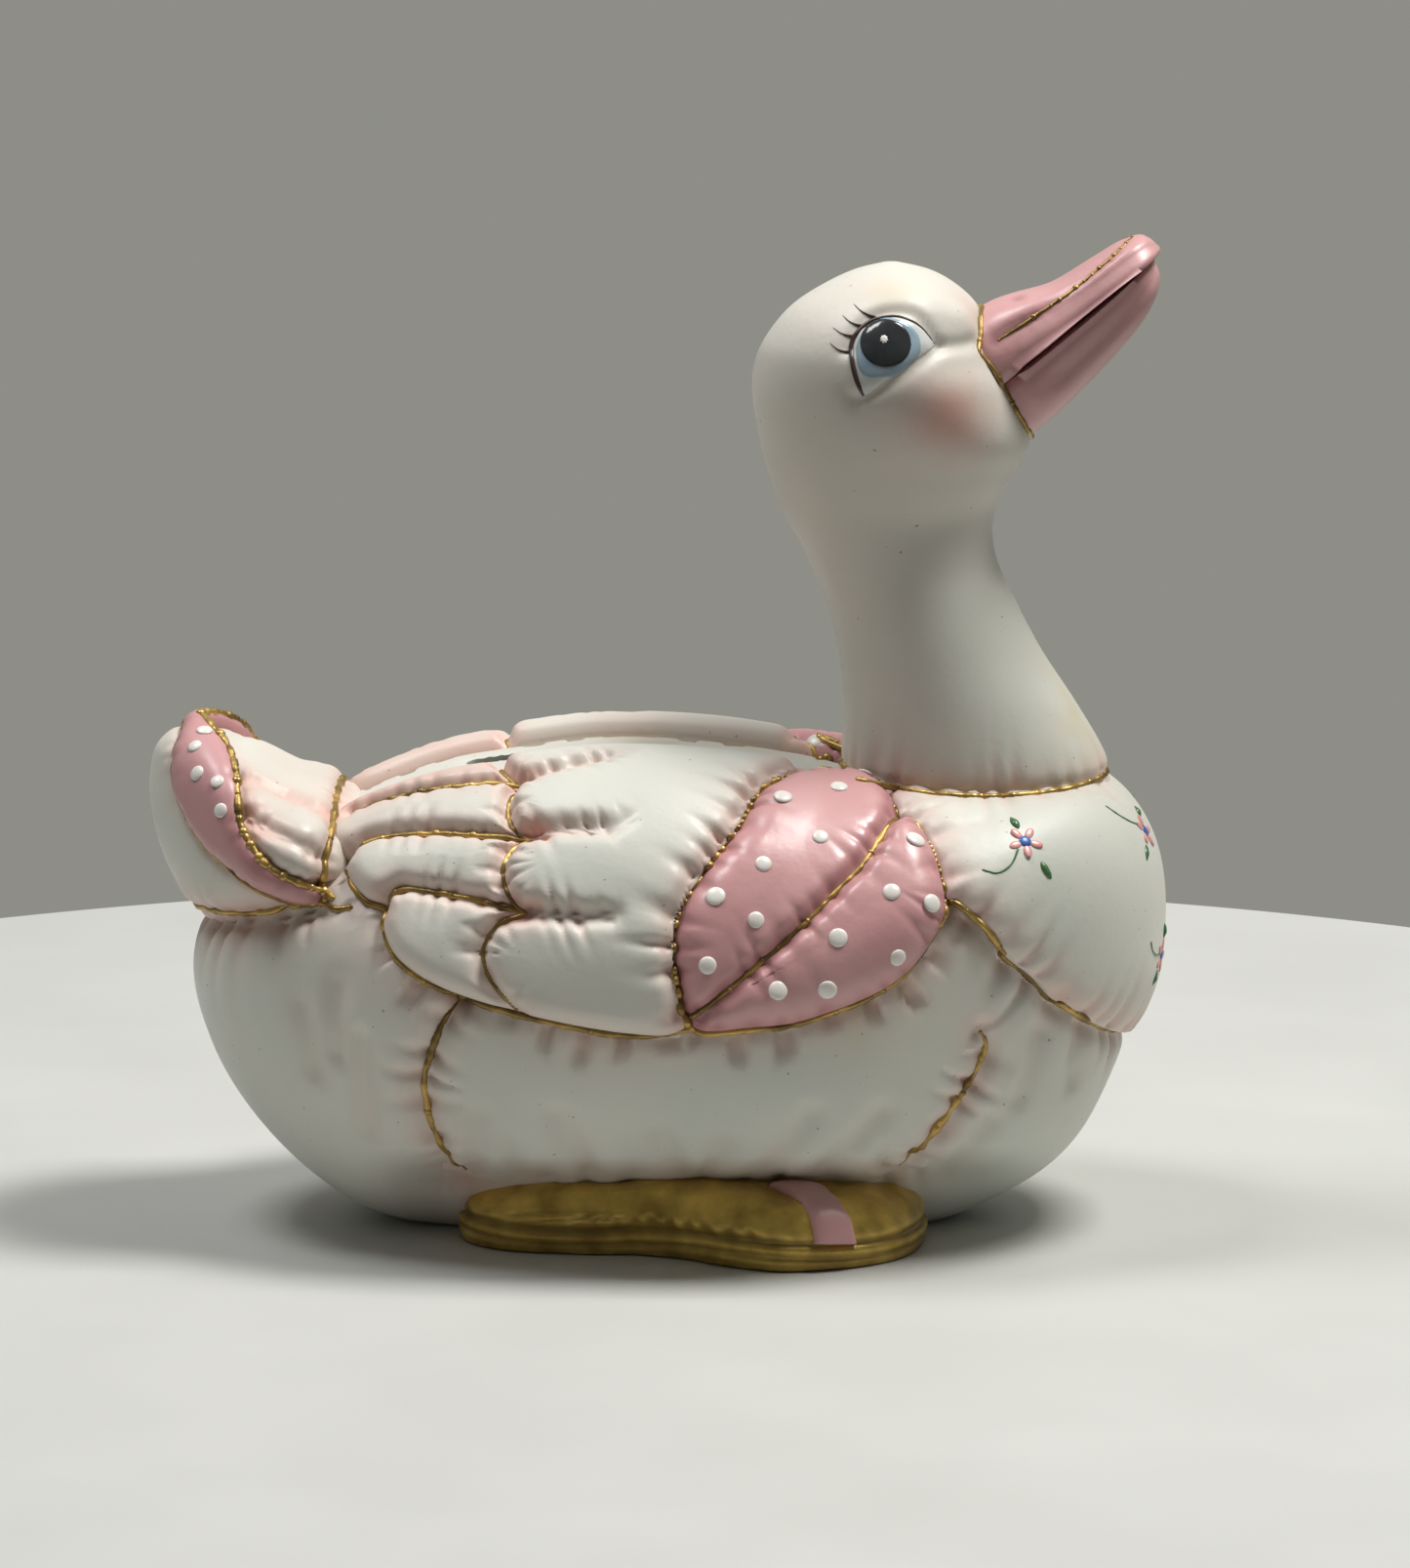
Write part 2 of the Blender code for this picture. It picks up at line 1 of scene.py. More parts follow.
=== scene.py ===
# %% [markdown]
# # A patchwork duck money bank in bisque
# The real bank is a slip-cast figure: a plump hollow body, with quilted panels pressed into its skin,
# that is fired, airbrushed pink along its creases, and then gilded along every seam. This lesson
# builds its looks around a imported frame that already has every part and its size. Each cell makes
# one piece or one finish, and says why it is made that way.

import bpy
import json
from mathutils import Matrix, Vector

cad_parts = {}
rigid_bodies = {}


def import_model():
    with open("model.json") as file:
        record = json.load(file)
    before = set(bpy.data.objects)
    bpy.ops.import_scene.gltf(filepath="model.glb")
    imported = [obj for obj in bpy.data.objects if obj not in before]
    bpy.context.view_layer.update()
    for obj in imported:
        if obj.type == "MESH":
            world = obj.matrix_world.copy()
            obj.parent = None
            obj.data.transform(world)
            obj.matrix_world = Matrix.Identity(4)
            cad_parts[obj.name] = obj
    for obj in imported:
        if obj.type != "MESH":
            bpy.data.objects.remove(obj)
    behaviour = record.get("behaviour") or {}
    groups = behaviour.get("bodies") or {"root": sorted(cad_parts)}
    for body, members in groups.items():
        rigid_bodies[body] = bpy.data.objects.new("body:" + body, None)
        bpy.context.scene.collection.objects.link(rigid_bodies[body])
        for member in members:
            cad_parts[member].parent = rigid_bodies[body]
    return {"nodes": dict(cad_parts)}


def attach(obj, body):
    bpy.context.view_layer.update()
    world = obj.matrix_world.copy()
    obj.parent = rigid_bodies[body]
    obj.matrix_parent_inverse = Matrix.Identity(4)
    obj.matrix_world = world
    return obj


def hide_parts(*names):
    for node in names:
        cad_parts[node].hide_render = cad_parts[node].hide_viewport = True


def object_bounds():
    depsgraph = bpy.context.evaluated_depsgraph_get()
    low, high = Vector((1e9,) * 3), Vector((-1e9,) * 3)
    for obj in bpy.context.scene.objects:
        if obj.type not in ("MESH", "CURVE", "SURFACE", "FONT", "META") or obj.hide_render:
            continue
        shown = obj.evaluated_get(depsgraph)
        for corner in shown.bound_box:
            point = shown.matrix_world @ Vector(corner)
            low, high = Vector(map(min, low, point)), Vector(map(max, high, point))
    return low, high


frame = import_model()
CAD_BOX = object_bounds()
print("frame parts:", len(frame["nodes"]))

# %% [markdown]
# ## Working in millimetres
# A figure like this is drawn in millimetres, so every outline below is too. One number, the length
# of the frame's box against the drawn length, turns them into metres, and the box's corner places
# them. If the bank is ever made larger, everything here grows with it.

# %% Scale and place
import json
from math import cos, pi, radians, sin

import bmesh
import bpy
import numpy as np
from mathutils import Vector
from mathutils.bvhtree import BVHTree

DRAWN_LENGTH = 176.0
DRAWN_TAIL = -87.9
MM = (CAD_BOX[1][0] - CAD_BOX[0][0]) / DRAWN_LENGTH
PLACE = np.array((CAD_BOX[0][0] - DRAWN_TAIL * MM, 0.0, CAD_BOX[0][2]))
NEAR = -1
SEED = 7
print("one drawn millimetre is", round(MM, 6), "m")

# %% [markdown]
# ## Smooth lines
# A modeller draws a few points and lets a spring curve find the rest. Catmull-Rom curves do that:
# they pass through every point, so an outline can be read off the real figure and listed.

# %% Curves through points
def smooth_through(places, values, at):
    """Read a smooth curve through rising places at many places at once."""
    slopes = np.empty_like(values)
    slopes[1:-1] = (values[2:] - values[:-2]) / (places[2:] - places[:-2])
    slopes[0] = (values[1] - values[0]) / (places[1] - places[0])
    slopes[-1] = (values[-1] - values[-2]) / (places[-1] - places[-2])
    i = np.clip(np.searchsorted(places, at, side="right") - 1, 0, len(places) - 2)
    span = places[i + 1] - places[i]
    t = (at - places[i]) / span
    rise = values[i + 1] - values[i]
    start, end = slopes[i] * span, slopes[i + 1] * span
    return values[i] + t * (start + t * (3 * rise - 2 * start - end + t * (start + end - 2 * rise)))


def smooth_path(points, closed=False, steps=12):
    """A smooth curve through points of any dimension, with steps between each two."""
    points = np.array(points, float)
    last = len(points)
    spans = last if closed else last - 1
    result = []
    for i in range(spans):
        around = [i - 1, i, i + 1, i + 2]
        if closed:
            a, b, c, d = (points[k % last] for k in around)
        else:
            a, b, c, d = (points[min(max(k, 0), last - 1)] for k in around)
        for k in range(steps):
            t = k / steps
            bend = a - 2.5 * b + 2 * c - d / 2 + t * (1.5 * (b - c) + (d - a) / 2)
            result.append(b + t * ((c - a) / 2 + t * bend))
    if not closed:
        result.append(points[-1])
    return np.array(result)


def evenly(points, step, closed=False):
    """Space a path's points evenly along it."""
    if closed:
        points = np.vstack((points, points[:1]))
    runs = np.concatenate(([0.0], np.cumsum(np.linalg.norm(np.diff(points, axis=0), axis=1))))
    count = max(int(round(runs[-1] / step)), 2)
    at = np.linspace(0, runs[-1], count + 1)
    if closed:
        at = at[:-1]
    return np.stack([np.interp(at, runs, column) for column in points.T], 1)


def soft_step(value):
    """Rise from 0 to 1 without a corner, as the value goes from 0 to 1."""
    value = np.clip(value, 0, 1)
    return value * value * (3 - 2 * value)


# %% [markdown]
# ## A ball with an outline
# The body, the tail and the slippers are all balls pushed into a shape. An outline gives how far
# the skin is from the middle in each direction, and a fullness says how square the cross-section
# is. Because the rule is a formula, the same skin can be asked for a point, a normal or a mesh.

# %% The shaped ball
class Ball:
    """A solid whose side view is an outline, and whose cross-section is as full as its rule says."""

    def __init__(self, centre, outline, half_width, fullness):
        self.centre, self.half_width, self.fullness = centre, half_width, fullness
        offsets = np.array(outline, float) - centre
        turns = np.arctan2(offsets[:, 1], offsets[:, 0])
        order = np.argsort(turns)
        turns, reaches = turns[order], np.hypot(offsets[:, 0], offsets[:, 1])[order]
        self.turns = np.concatenate((turns[-3:] - 2 * pi, turns, turns[:3] + 2 * pi))
        self.reaches = np.concatenate((reaches[-3:], reaches, reaches[:3]))

    def radius(self, angle):
        """How far the outline is from the centre."""
        return smooth_through(self.turns, self.reaches, angle)

    def shaped(self, unit):
        """Push points of a unit ball onto the skin."""
        along, across, up = unit.T
        angle = np.arctan2(up, along)
        power = self.fullness(angle)
        reach = self.radius(angle) * np.hypot(along, up) ** power
        x = self.centre[0] + reach * np.cos(angle)
        side = np.sign(across) * np.minimum(np.abs(across), 1) ** power
        return np.stack((x, side * self.half_width(x), self.centre[1] + reach * np.sin(angle)), 1)

    def level(self, points):
        """Below 1 inside the skin, and above it outside."""
        along, up = points[:, 0] - self.centre[0], points[:, 2] - self.centre[1]
        angle = np.arctan2(up, along)
        power = 2 / self.fullness(angle)
        side = np.abs(points[:, 1]) / self.half_width(points[:, 0])
        return (np.hypot(along, up) / self.radius(angle)) ** power + side ** power

    def facing(self, points):
        """The direction that the skin faces at each point."""
        step = 0.05
        slopes = [self.level(points + step * way) - self.level(points - step * way) for way in np.eye(3)]
        slopes = np.stack(slopes, 1)
        return slopes / np.linalg.norm(slopes, axis=1, keepdims=True)

    def met(self, origins, ways):
        """Where lines from inside the ball meet its skin."""
        low, high = np.zeros(len(ways)), np.full(len(ways), 95.0)
        for _ in range(32):
            reach = (low + high) / 2
            inside = self.level(origins + ways * reach[:, None]) < 1
            low, high = np.where(inside, reach, low), np.where(inside, high, reach)
        return origins + ways * low[:, None]


def ball_mesh(detail):
    """The points and faces of an even unit ball."""
    bm = bmesh.new()
    bmesh.ops.create_icosphere(bm, subdivisions=detail, radius=1)
    points = np.array([vert.co for vert in bm.verts])
    faces = np.array([[vert.index for vert in face.verts] for face in bm.faces])
    bm.free()
    return points, faces


# %% The body's skin
BODY_OUTLINE = [
    (86, 52), (84, 67), (76, 76), (62, 78), (45, 78.5), (30, 79.3), (6, 82.8), (-20, 82.2),
    (-42, 78), (-60, 70), (-75, 60), (-81, 46), (-78, 32), (-69, 17), (-53, 3), (-30, -4),
    (0, -5), (30, -4.5), (57, 1.5), (73, 13.5), (82, 31),
]
BODY_HALF_WIDTH = 46.0
body_skin = Ball(
    (3, 41), BODY_OUTLINE, lambda x: np.full_like(x, BODY_HALF_WIDTH), lambda angle: 0.9 - 0.1 * np.sin(angle)
)
AXIS_HEIGHT = 45.0
GIRTH_RADIUS = 50.0


def side_surface(chart):
    """Points and normals of the body's near side at (x, girth) places, as a tailor would tape them."""
    chart = np.asarray(chart, float)
    turn = chart[:, 1] / GIRTH_RADIUS
    origins = np.stack((chart[:, 0], np.zeros(len(chart)), np.full(len(chart), AXIS_HEIGHT)), 1)
    ways = np.stack((np.zeros(len(chart)), NEAR * np.cos(turn), np.sin(turn)), 1)
    points = body_skin.met(origins, ways)
    return points, body_skin.facing(points)


print("body at its waist:", side_surface([(0, 0)])[0].round(1))

# %% [markdown]
# ## Seams, and the puckers that run out from them
# Quilting pulls cloth down along a stitched line, and the cloth answers with small dents that run
# out from it. So every relief here starts from two measurements at a point: how far it is from
# the nearest seam, and how far along the seam its foot lies. The first shapes the groove and the
# pillow beside it, and the second spaces the puckers.

# %% Distance from seams
class Seam:
    """A line on a surface, with evenly spaced points and how far along it each one is."""

    def __init__(self, points, closed=False):
        self.points = evenly(np.asarray(points, float), 0.6, closed)
        nexts = np.roll(self.points, -1, axis=0)
        runs = nexts - self.points
        if not closed:
            runs[-1] = runs[-2]
        lengths = np.linalg.norm(runs, axis=1)
        self.ways = runs / lengths[:, None]
        self.arcs = np.concatenate(([0.0], np.cumsum(lengths[:-1])))


def side_seam(chart, closed=False):
    """A seam on the body's near side, through (x, girth) places."""
    return Seam(side_surface(smooth_path(chart, closed))[0], closed)


def beside(points, seams):
    """Distance to the nearest of several seams, and how far along it the foot is."""
    nearest = np.full(len(points), 1e9)
    arcs = np.zeros(len(points))
    for order, seam in enumerate(seams):
        for start in range(0, len(points), 8000):
            part = points[start:start + 8000]
            squares = (part ** 2).sum(1)[:, None] - 2 * part @ seam.points.T + (seam.points ** 2).sum(1)
            foot = squares.argmin(1)
            offset = part - seam.points[foot]
            along = (offset * seam.ways[foot]).sum(1)
            slide = np.clip(along, -0.4, 0.4)
            distance = np.linalg.norm(offset - seam.ways[foot] * slide[:, None], axis=1)
            closer = distance < nearest[start:start + 8000]
            arc = seam.arcs[foot] + slide + 37.0 * order
            nearest[start:start + 8000] = np.where(closer, distance, nearest[start:start + 8000])
            arcs[start:start + 8000] = np.where(closer, arc, arcs[start:start + 8000])
    return nearest, arcs


def puckers(distance, arc, spacing, reach):
    """Dents of uneven size that start beside a seam and fade out from it; from 0 to 1."""
    wander = 1.3 * np.sin(arc * 1.9 / spacing + SEED) + 0.8 * np.sin(arc * 0.83 / spacing)
    dent = (0.5 + 0.5 * np.cos(2 * pi * arc / spacing + wander)) ** 2
    strength = 0.75 + 0.25 * np.sin(arc * 2.7 / spacing + 2 * SEED)
    length = reach * (0.8 + 0.3 * np.sin(arc * 1.3 / spacing + 3))
    fade = soft_step(distance / 0.9) * np.exp(-(np.maximum(distance, 0) / length) ** 1.6)
    return dent * strength * fade


def petals(distance, arc, spacing, reach):
    """Broad dents with flat floors and round ends, as a thumb makes them; from 0 to 1."""
    wander = 0.9 * np.sin(arc * 1.1 / spacing + SEED)
    across = np.cos(2 * pi * arc / spacing + wander)
    length = reach * (0.75 + 0.25 * np.sin(arc * 1.7 / spacing + 2))
    inside = soft_step((across + 0.15) / 0.75) * soft_step((length - distance) / (0.55 * reach))
    return inside * soft_step((distance - 0.4) / 1.2)


def rounded(distance, width):
    """A quarter-round edge that is full at a width from it."""
    inward = 1 - np.clip(distance / width, 0, 1)
    return np.sqrt(np.clip(1 - inward ** 2, 0, 1))


def groove(distance, width):
    """A soft valley along a seam; from 0 to 1."""
    return np.exp(-(distance / width) ** 2)


def handmade(points):
    """The slow unevenness of a hand-pressed mould, from about -1 to 1."""
    x, y, z = (points / 11.0).T
    return (np.sin(x + 1.7 * np.sin(y + z)) + np.sin(1.3 * y + 1.1 * np.sin(z * 1.4 + x))) / 2


def within(chart, outline):
    """Which places lie inside a closed outline."""
    x, y = chart.T
    inside = np.zeros(len(chart), bool)
    for (x0, y0), (x1, y1) in zip(outline, np.roll(outline, -1, axis=0)):
        crosses = (y0 > y) != (y1 > y)
        run = np.where(y1 == y0, 1e-9, y1 - y0)
        inside ^= crosses & (x < x0 + (x1 - x0) * (y - y0) / run)
    return inside


# %% [markdown]
# ## Drawing the quilt
# These are the sewing lines of one side. A place on the side is (x, girth): how far forward it is,
# and how far up from the waist a tape would measure. The other side is the mirror image.

# %% The sewing lines of one side
WING_EDGE = [
    (-50, 61), (-54.5, 56), (-55.3, 47), (-54.8, 40.5), (-51.4, 37.2), (-52, 32), (-49, 25.5), (-45.4, 22.6),
    (-45.6, 17), (-43.2, 11), (-37.5, 6), (-29, 2.4), (-16, -0.9), (-4, -2.9), (4, -2.6), (12, 3),
    (26, 11), (33, 28), (33, 46), (31, 58), (22, 62), (6, 62.5), (-12, 62.5), (-32, 61.5),
]
PATCH_EDGE = [
    (6.7, -1.8), (3.8, 7), (3.4, 14), (5, 20.5), (13.6, 35.4), (18, 47.5), (26, 58.5), (34, 61.5),
    (39.2, 55), (41.8, 44), (45.3, 38.7), (48.5, 26), (48, 17.5), (40.4, 6.4), (26, -0.4), (16, -1.9),
]
PATCH_MIDDLE_SEAM = [(41.9, 43.3), (36.2, 29.7), (31, 22.9), (22.9, 14.3), (7.9, 1.5), (5.6, 0)]
LONG_FEATHERS = [
    [(-50.8, 53.2), (-47.5, 53.6), (-43.7, 53.5), (-33.1, 51.5), (-25.3, 50.6), (-21.8, 49.5)],
    [(-51.2, 37.2), (-49.1, 39.4), (-44.4, 39.8), (-36.6, 38.1), (-27.7, 35.5), (-20.7, 34.4)],
    [(-45.3, 22.4), (-44, 24.8), (-41.5, 25.5), (-37.7, 24.5), (-29.1, 21.9), (-21.4, 19.2)],
]
COVERT_TIPS = [
    [(-25.7, 62), (-26.2, 58.5), (-24.6, 53.5), (-21.8, 49.5)],
    [(-21.8, 49.5), (-24, 46.4), (-24.6, 41), (-23.4, 36.6), (-20.7, 34.4)],
    [(-20.7, 34.4), (-23.6, 32.6), (-25.2, 27.5), (-23.9, 22), (-21.4, 19.2)],
    [(-21.4, 19.2), (-25.8, 17.2), (-28.4, 12.5), (-27.6, 7.5), (-24.8, 3.2), (-22.8, 0.6)],
]
COVERT_VALLEYS = [
    [(-21.8, 50), (-15, 51.8), (-7, 54.5), (-1.4, 58)],
    [(-20.7, 34.6), (-12.4, 34.5), (-5.6, 34.2), (-2, 36.5)],
    [(-21.4, 19.2), (-13.1, 18.1), (-6.1, 18.1)],
]
REAR_SEAM = [
    (-33.6, 2), (-36, -2.5), (-38.4, -10.5), (-39.4, -17), (-38.1, -26.7), (-35.6, -34.7), (-33.5, -40),
]
FRONT_SEAM = [(56, -7), (56.9, -10.7), (54.8, -17.4), (51.7, -23), (48.2, -28.7), (42.8, -37)]
HEM_SEAM = [(-36, -38.5), (-15, -39.5), (5, -40), (25, -39.5), (46, -37.5)]
wing_edge = side_seam(WING_EDGE, closed=True)
patch_edge = side_seam(PATCH_EDGE, closed=True)
patch_middle = side_seam(PATCH_MIDDLE_SEAM)
feather_seams = [side_seam(line) for line in LONG_FEATHERS]
tip_seams = [side_seam(line) for line in COVERT_TIPS]
valleys = [side_seam(line) for line in COVERT_VALLEYS]
rear_seam, front_seam = side_seam(REAR_SEAM), side_seam(FRONT_SEAM)
hem_seam = side_seam(HEM_SEAM)
print("gilded feather lines on a side:", len(feather_seams) + len(tip_seams))

# %% The seams round the chest, the neck and the tail
BIB_SEAM = [
    (49.2, -38.3, 63.7), (54.2, -37.4, 59.7), (59.5, -36.3, 53.4), (64.2, -33.8, 49.1), (68.2, -30.8, 44.4),
    (76.1, -22.7, 38.3), (80.5, -14.4, 35.3), (83, -6, 33.8), (83.3, 0, 33.6),
]
NECK_RING_MIDDLE = 55.2
NECK_RING_REACH = 24.1
NECK_RING_WIDTH = 20.1
NECK_RING_LEVEL = 77.8
FRONT_LIFT, BACK_LIFT = 1.3, 2.8
TAIL_SEAM = [
    (-80.6, 0, 55.2), (-79.2, -10.1, 55.4), (-70.9, -19.9, 56.2), (-64.6, -25.4, 57.9), (-57.9, -29.2, 60),
]


def neck_ring_point(turn):
    """The neck's seam dips at the sides and rises at the front and the back."""
    lift = FRONT_LIFT if cos(turn) > 0 else BACK_LIFT
    x = NECK_RING_MIDDLE + NECK_RING_REACH * cos(turn)
    return x, NECK_RING_WIDTH * sin(turn), NECK_RING_LEVEL + lift * cos(turn) ** 2


neck_ring = Seam([neck_ring_point(2 * pi * i / 90) for i in range(90)], closed=True)
bib_seam = Seam(smooth_path(BIB_SEAM))
tail_seam = Seam(smooth_path(TAIL_SEAM))
print("neck seam length:", round(neck_ring.arcs[-1]), "mm")

# %% [markdown]
# ## Finishes
# Bisque is fired clay without glaze: matte, slightly satin where hands have polished it, and never
# quite one white. The painter then sprays pink into the creases; laid deepest in the grooves and
# dents and darker than the clay, that pink is painted shade there as well. It is stored on each
# point of a mesh as an attribute, so the shader only has to mix it in. Stains and
# dark specks come from noise on object coordinates, so they stay put from every side.

# %% Node helpers
def shader_nodes(name):
    """Start a material and give its node tree and its main shader."""
    material = bpy.data.materials.new(name)
    material.use_nodes = True
    tree = material.node_tree
    return material, tree, tree.nodes["Principled BSDF"]


def mixed(tree, factor, first, second):
    """Mix two colours by a factor; each may be a colour or a socket."""
    mix = tree.nodes.new("ShaderNodeMix")
    mix.data_type = "RGBA"
    tree.links.new(factor, mix.inputs["Factor"])
    for label, value in (("A", first), ("B", second)):
        socket = next(s for s in mix.inputs if s.name == label and s.type == "RGBA")
        if isinstance(value, tuple):
            socket.default_value = (*value, 1)
        else:
            tree.links.new(value, socket)
    return next(s for s in mix.outputs if s.type == "RGBA")


def cloud(tree, scale, detail, low, high, seed=0.0):
    """Noise on object coordinates, stretched between two levels to run from 0 to 1."""
    where = tree.nodes.new("ShaderNodeTexCoord")
    shift = tree.nodes.new("ShaderNodeMapping")
    shift.inputs["Location"].default_value = (seed, seed * 0.37, -seed)
    noise = tree.nodes.new("ShaderNodeTexNoise")
    noise.inputs["Scale"].default_value = scale
    noise.inputs["Detail"].default_value = detail
    levels = tree.nodes.new("ShaderNodeMapRange")
    levels.inputs["From Min"].default_value = low
    levels.inputs["From Max"].default_value = high
    tree.links.new(where.outputs["Object"], shift.inputs["Vector"])
    tree.links.new(shift.outputs["Vector"], noise.inputs["Vector"])
    tree.links.new(noise.outputs["Fac"], levels.inputs["Value"])
    return levels.outputs["Result"]


def scaled(tree, value, factor):
    """Multiply a value by a number or another value."""
    product = tree.nodes.new("ShaderNodeMath")
    product.operation = "MULTIPLY"
    product.use_clamp = True
    tree.links.new(value, product.inputs[0])
    if isinstance(factor, (int, float)):
        product.inputs[1].default_value = factor
    else:
        tree.links.new(factor, product.inputs[1])
    return product.outputs[0]


def painted(tree, name):
    """Read a painted attribute from the mesh."""
    attribute = tree.nodes.new("ShaderNodeAttribute")
    attribute.attribute_name = name
    return attribute.outputs["Fac"]


def bumped(tree, shader, height, distance, strength=1.0):
    """Give the shader small relief from a height."""
    bump = tree.nodes.new("ShaderNodeBump")
    bump.inputs["Distance"].default_value = distance
    bump.inputs["Strength"].default_value = strength
    tree.links.new(height, bump.inputs["Height"])
    tree.links.new(bump.outputs["Normal"], shader.inputs["Normal"])


def rough_between(tree, shader, factor, low, high):
    """Let the roughness wander between two values."""
    levels = tree.nodes.new("ShaderNodeMapRange")
    levels.inputs["To Min"].default_value = low
    levels.inputs["To Max"].default_value = high
    tree.links.new(factor, levels.inputs["Value"])
    tree.links.new(levels.outputs["Result"], shader.inputs["Roughness"])


# %% Bisque and rose glaze
WHITE_CLAY = (0.74, 0.725, 0.66)
COOL_CLAY = (0.65, 0.665, 0.605)
# Airbrush pink, darker than the clay; in the grooves and dents it is painted shade as well.
AIRBRUSH_PINK_AND_SHADE = (0.72, 0.43, 0.37)
STAIN_YELLOW = (0.62, 0.50, 0.27)
SPECK_BROWN = (0.20, 0.15, 0.11)


def bisque_finish():
    """White unglazed clay with airbrushed pink creases that are also painted shade, faint stains and a few
    kiln specks.
    """
    material, tree, shader = shader_nodes("white_bisque")
    colour = mixed(tree, cloud(tree, 26, 3, 0.35, 0.7), WHITE_CLAY, COOL_CLAY)
    # Pink where the painted attribute is high; in the grooves and dents this is painted shade too.
    spray_and_shade = scaled(tree, painted(tree, "blush"), cloud(tree, 60, 3, 0.05, 0.62, 2.0))
    colour = mixed(tree, spray_and_shade, colour, AIRBRUSH_PINK_AND_SHADE)
    patches = scaled(tree, painted(tree, "stain"), cloud(tree, 70, 4, 0.3, 0.7, 5.0))
    colour = mixed(tree, patches, colour, STAIN_YELLOW)
    specks = scaled(tree, cloud(tree, 900, 1, 0.775, 0.80, 9.0), 0.6)
    shader.inputs["Specular IOR Level"].default_value = 0.42
    shader.inputs["Sheen Weight"].default_value = 0.08
    tree.links.new(mixed(tree, specks, colour, SPECK_BROWN), shader.inputs["Base Color"])
    rough_between(tree, shader, cloud(tree, 35, 3, 0.3, 0.7, 4.0), 0.36, 0.52)
    bumped(tree, shader, cloud(tree, 700, 3, 0.2, 0.8), 0.00006, 0.5)
    return material


def rose_finish():
    """Dusty rose slip under a satin glaze, darker in the creases as painted shade."""
    material, tree, shader = shader_nodes("rose_glaze")
    colour = mixed(tree, cloud(tree, 45, 4, 0.3, 0.7), (0.60, 0.305, 0.315), (0.66, 0.37, 0.37))
    # Darker rose where the painted attribute is high, in grooves, dents, the mouth line and the nostril:
    # painted shade.
    colour = mixed(tree, painted(tree, "blush"), colour, (0.40, 0.15, 0.165))
    tree.links.new(colour, shader.inputs["Base Color"])
    shader.inputs["Coat Weight"].default_value = 0.25
    shader.inputs["Coat Roughness"].default_value = 0.28
    rough_between(tree, shader, cloud(tree, 60, 3, 0.3, 0.7, 4.0), 0.34, 0.5)
    bumped(tree, shader, cloud(tree, 520, 2, 0.2, 0.8), 0.00008, 0.5)
    return material


bisque = bisque_finish()
rose = rose_finish()
print("finishes:", bisque.name, rose.name)

# %% [markdown]
# ## Old gold
# Gold lustre is a metal film a few thousandths of a millimetre thick. It pools, thins and wears, so
# it is dark olive in the hollows and bright on the ridges. Two clouds of noise do that here: one
# mixes the colour, and one makes the gloss uneven.

# %% Gold, enamels and rubber
def gold_finish(name, bright, dark, low, high, metal):
    """Worn gold lustre: a metal with dark patina where the noise is low."""
    material, tree, shader = shader_nodes(name)
    colour = mixed(tree, cloud(tree, 160, 5, low, high), dark, bright)
    # Near black where the painted attribute is high: patina in a slipper's grooves, and painted shade along
    # its foot on the table.
    colour = mixed(tree, scaled(tree, painted(tree, "blush"), 0.8), colour, (0.07, 0.042, 0.014))
    tree.links.new(colour, shader.inputs["Base Color"])
    shader.inputs["Metallic"].default_value = metal
    rough_between(tree, shader, cloud(tree, 240, 4, 0.3, 0.7, 3.0), 0.28, 0.56)
    bumped(tree, shader, cloud(tree, 330, 4, 0.2, 0.8, 6.0), 0.00025, 0.6)
    return material


def enamel_finish(name, colour, depth, roughness=0.3):
    """Brushed enamel: thick colour that thins a little, so it shows what lies below."""
    material, tree, shader = shader_nodes(name)
    tree.links.new(mixed(tree, cloud(tree, 300, 3, 0.35, 0.75), colour, depth), shader.inputs["Base Color"])
    shader.inputs["Roughness"].default_value = roughness
    bumped(tree, shader, cloud(tree, 600, 2, 0.2, 0.8), 0.00004, 0.4)
    return material


gold_line = gold_finish("gold_line", (0.60, 0.40, 0.125), (0.19, 0.12, 0.038), 0.36, 0.66, 0.65)
gold_slipper = gold_finish("gold_slipper", (0.78, 0.54, 0.12), (0.42, 0.27, 0.055), 0.32, 0.66, 0.42)
white_enamel = enamel_finish("white_enamel", (0.84, 0.82, 0.78), (0.78, 0.72, 0.68))
coral_enamel = enamel_finish("coral_enamel", (0.72, 0.27, 0.27), (0.75, 0.42, 0.38))
blue_enamel = enamel_finish("blue_enamel", (0.035, 0.10, 0.42), (0.05, 0.16, 0.5))
green_enamel = enamel_finish("green_enamel", (0.035, 0.13, 0.05), (0.10, 0.22, 0.08))
pupil_enamel = enamel_finish("pupil_enamel", (0.030, 0.033, 0.036), (0.045, 0.047, 0.05), 0.16)
iris_enamel = enamel_finish("iris_enamel", (0.28, 0.40, 0.50), (0.38, 0.47, 0.54), 0.25)
eye_white_enamel = enamel_finish("eye_white_enamel", (0.66, 0.68, 0.66), (0.72, 0.73, 0.70), 0.3)
lash_enamel = enamel_finish("lash_enamel", (0.045, 0.022, 0.02), (0.08, 0.05, 0.045), 0.35)


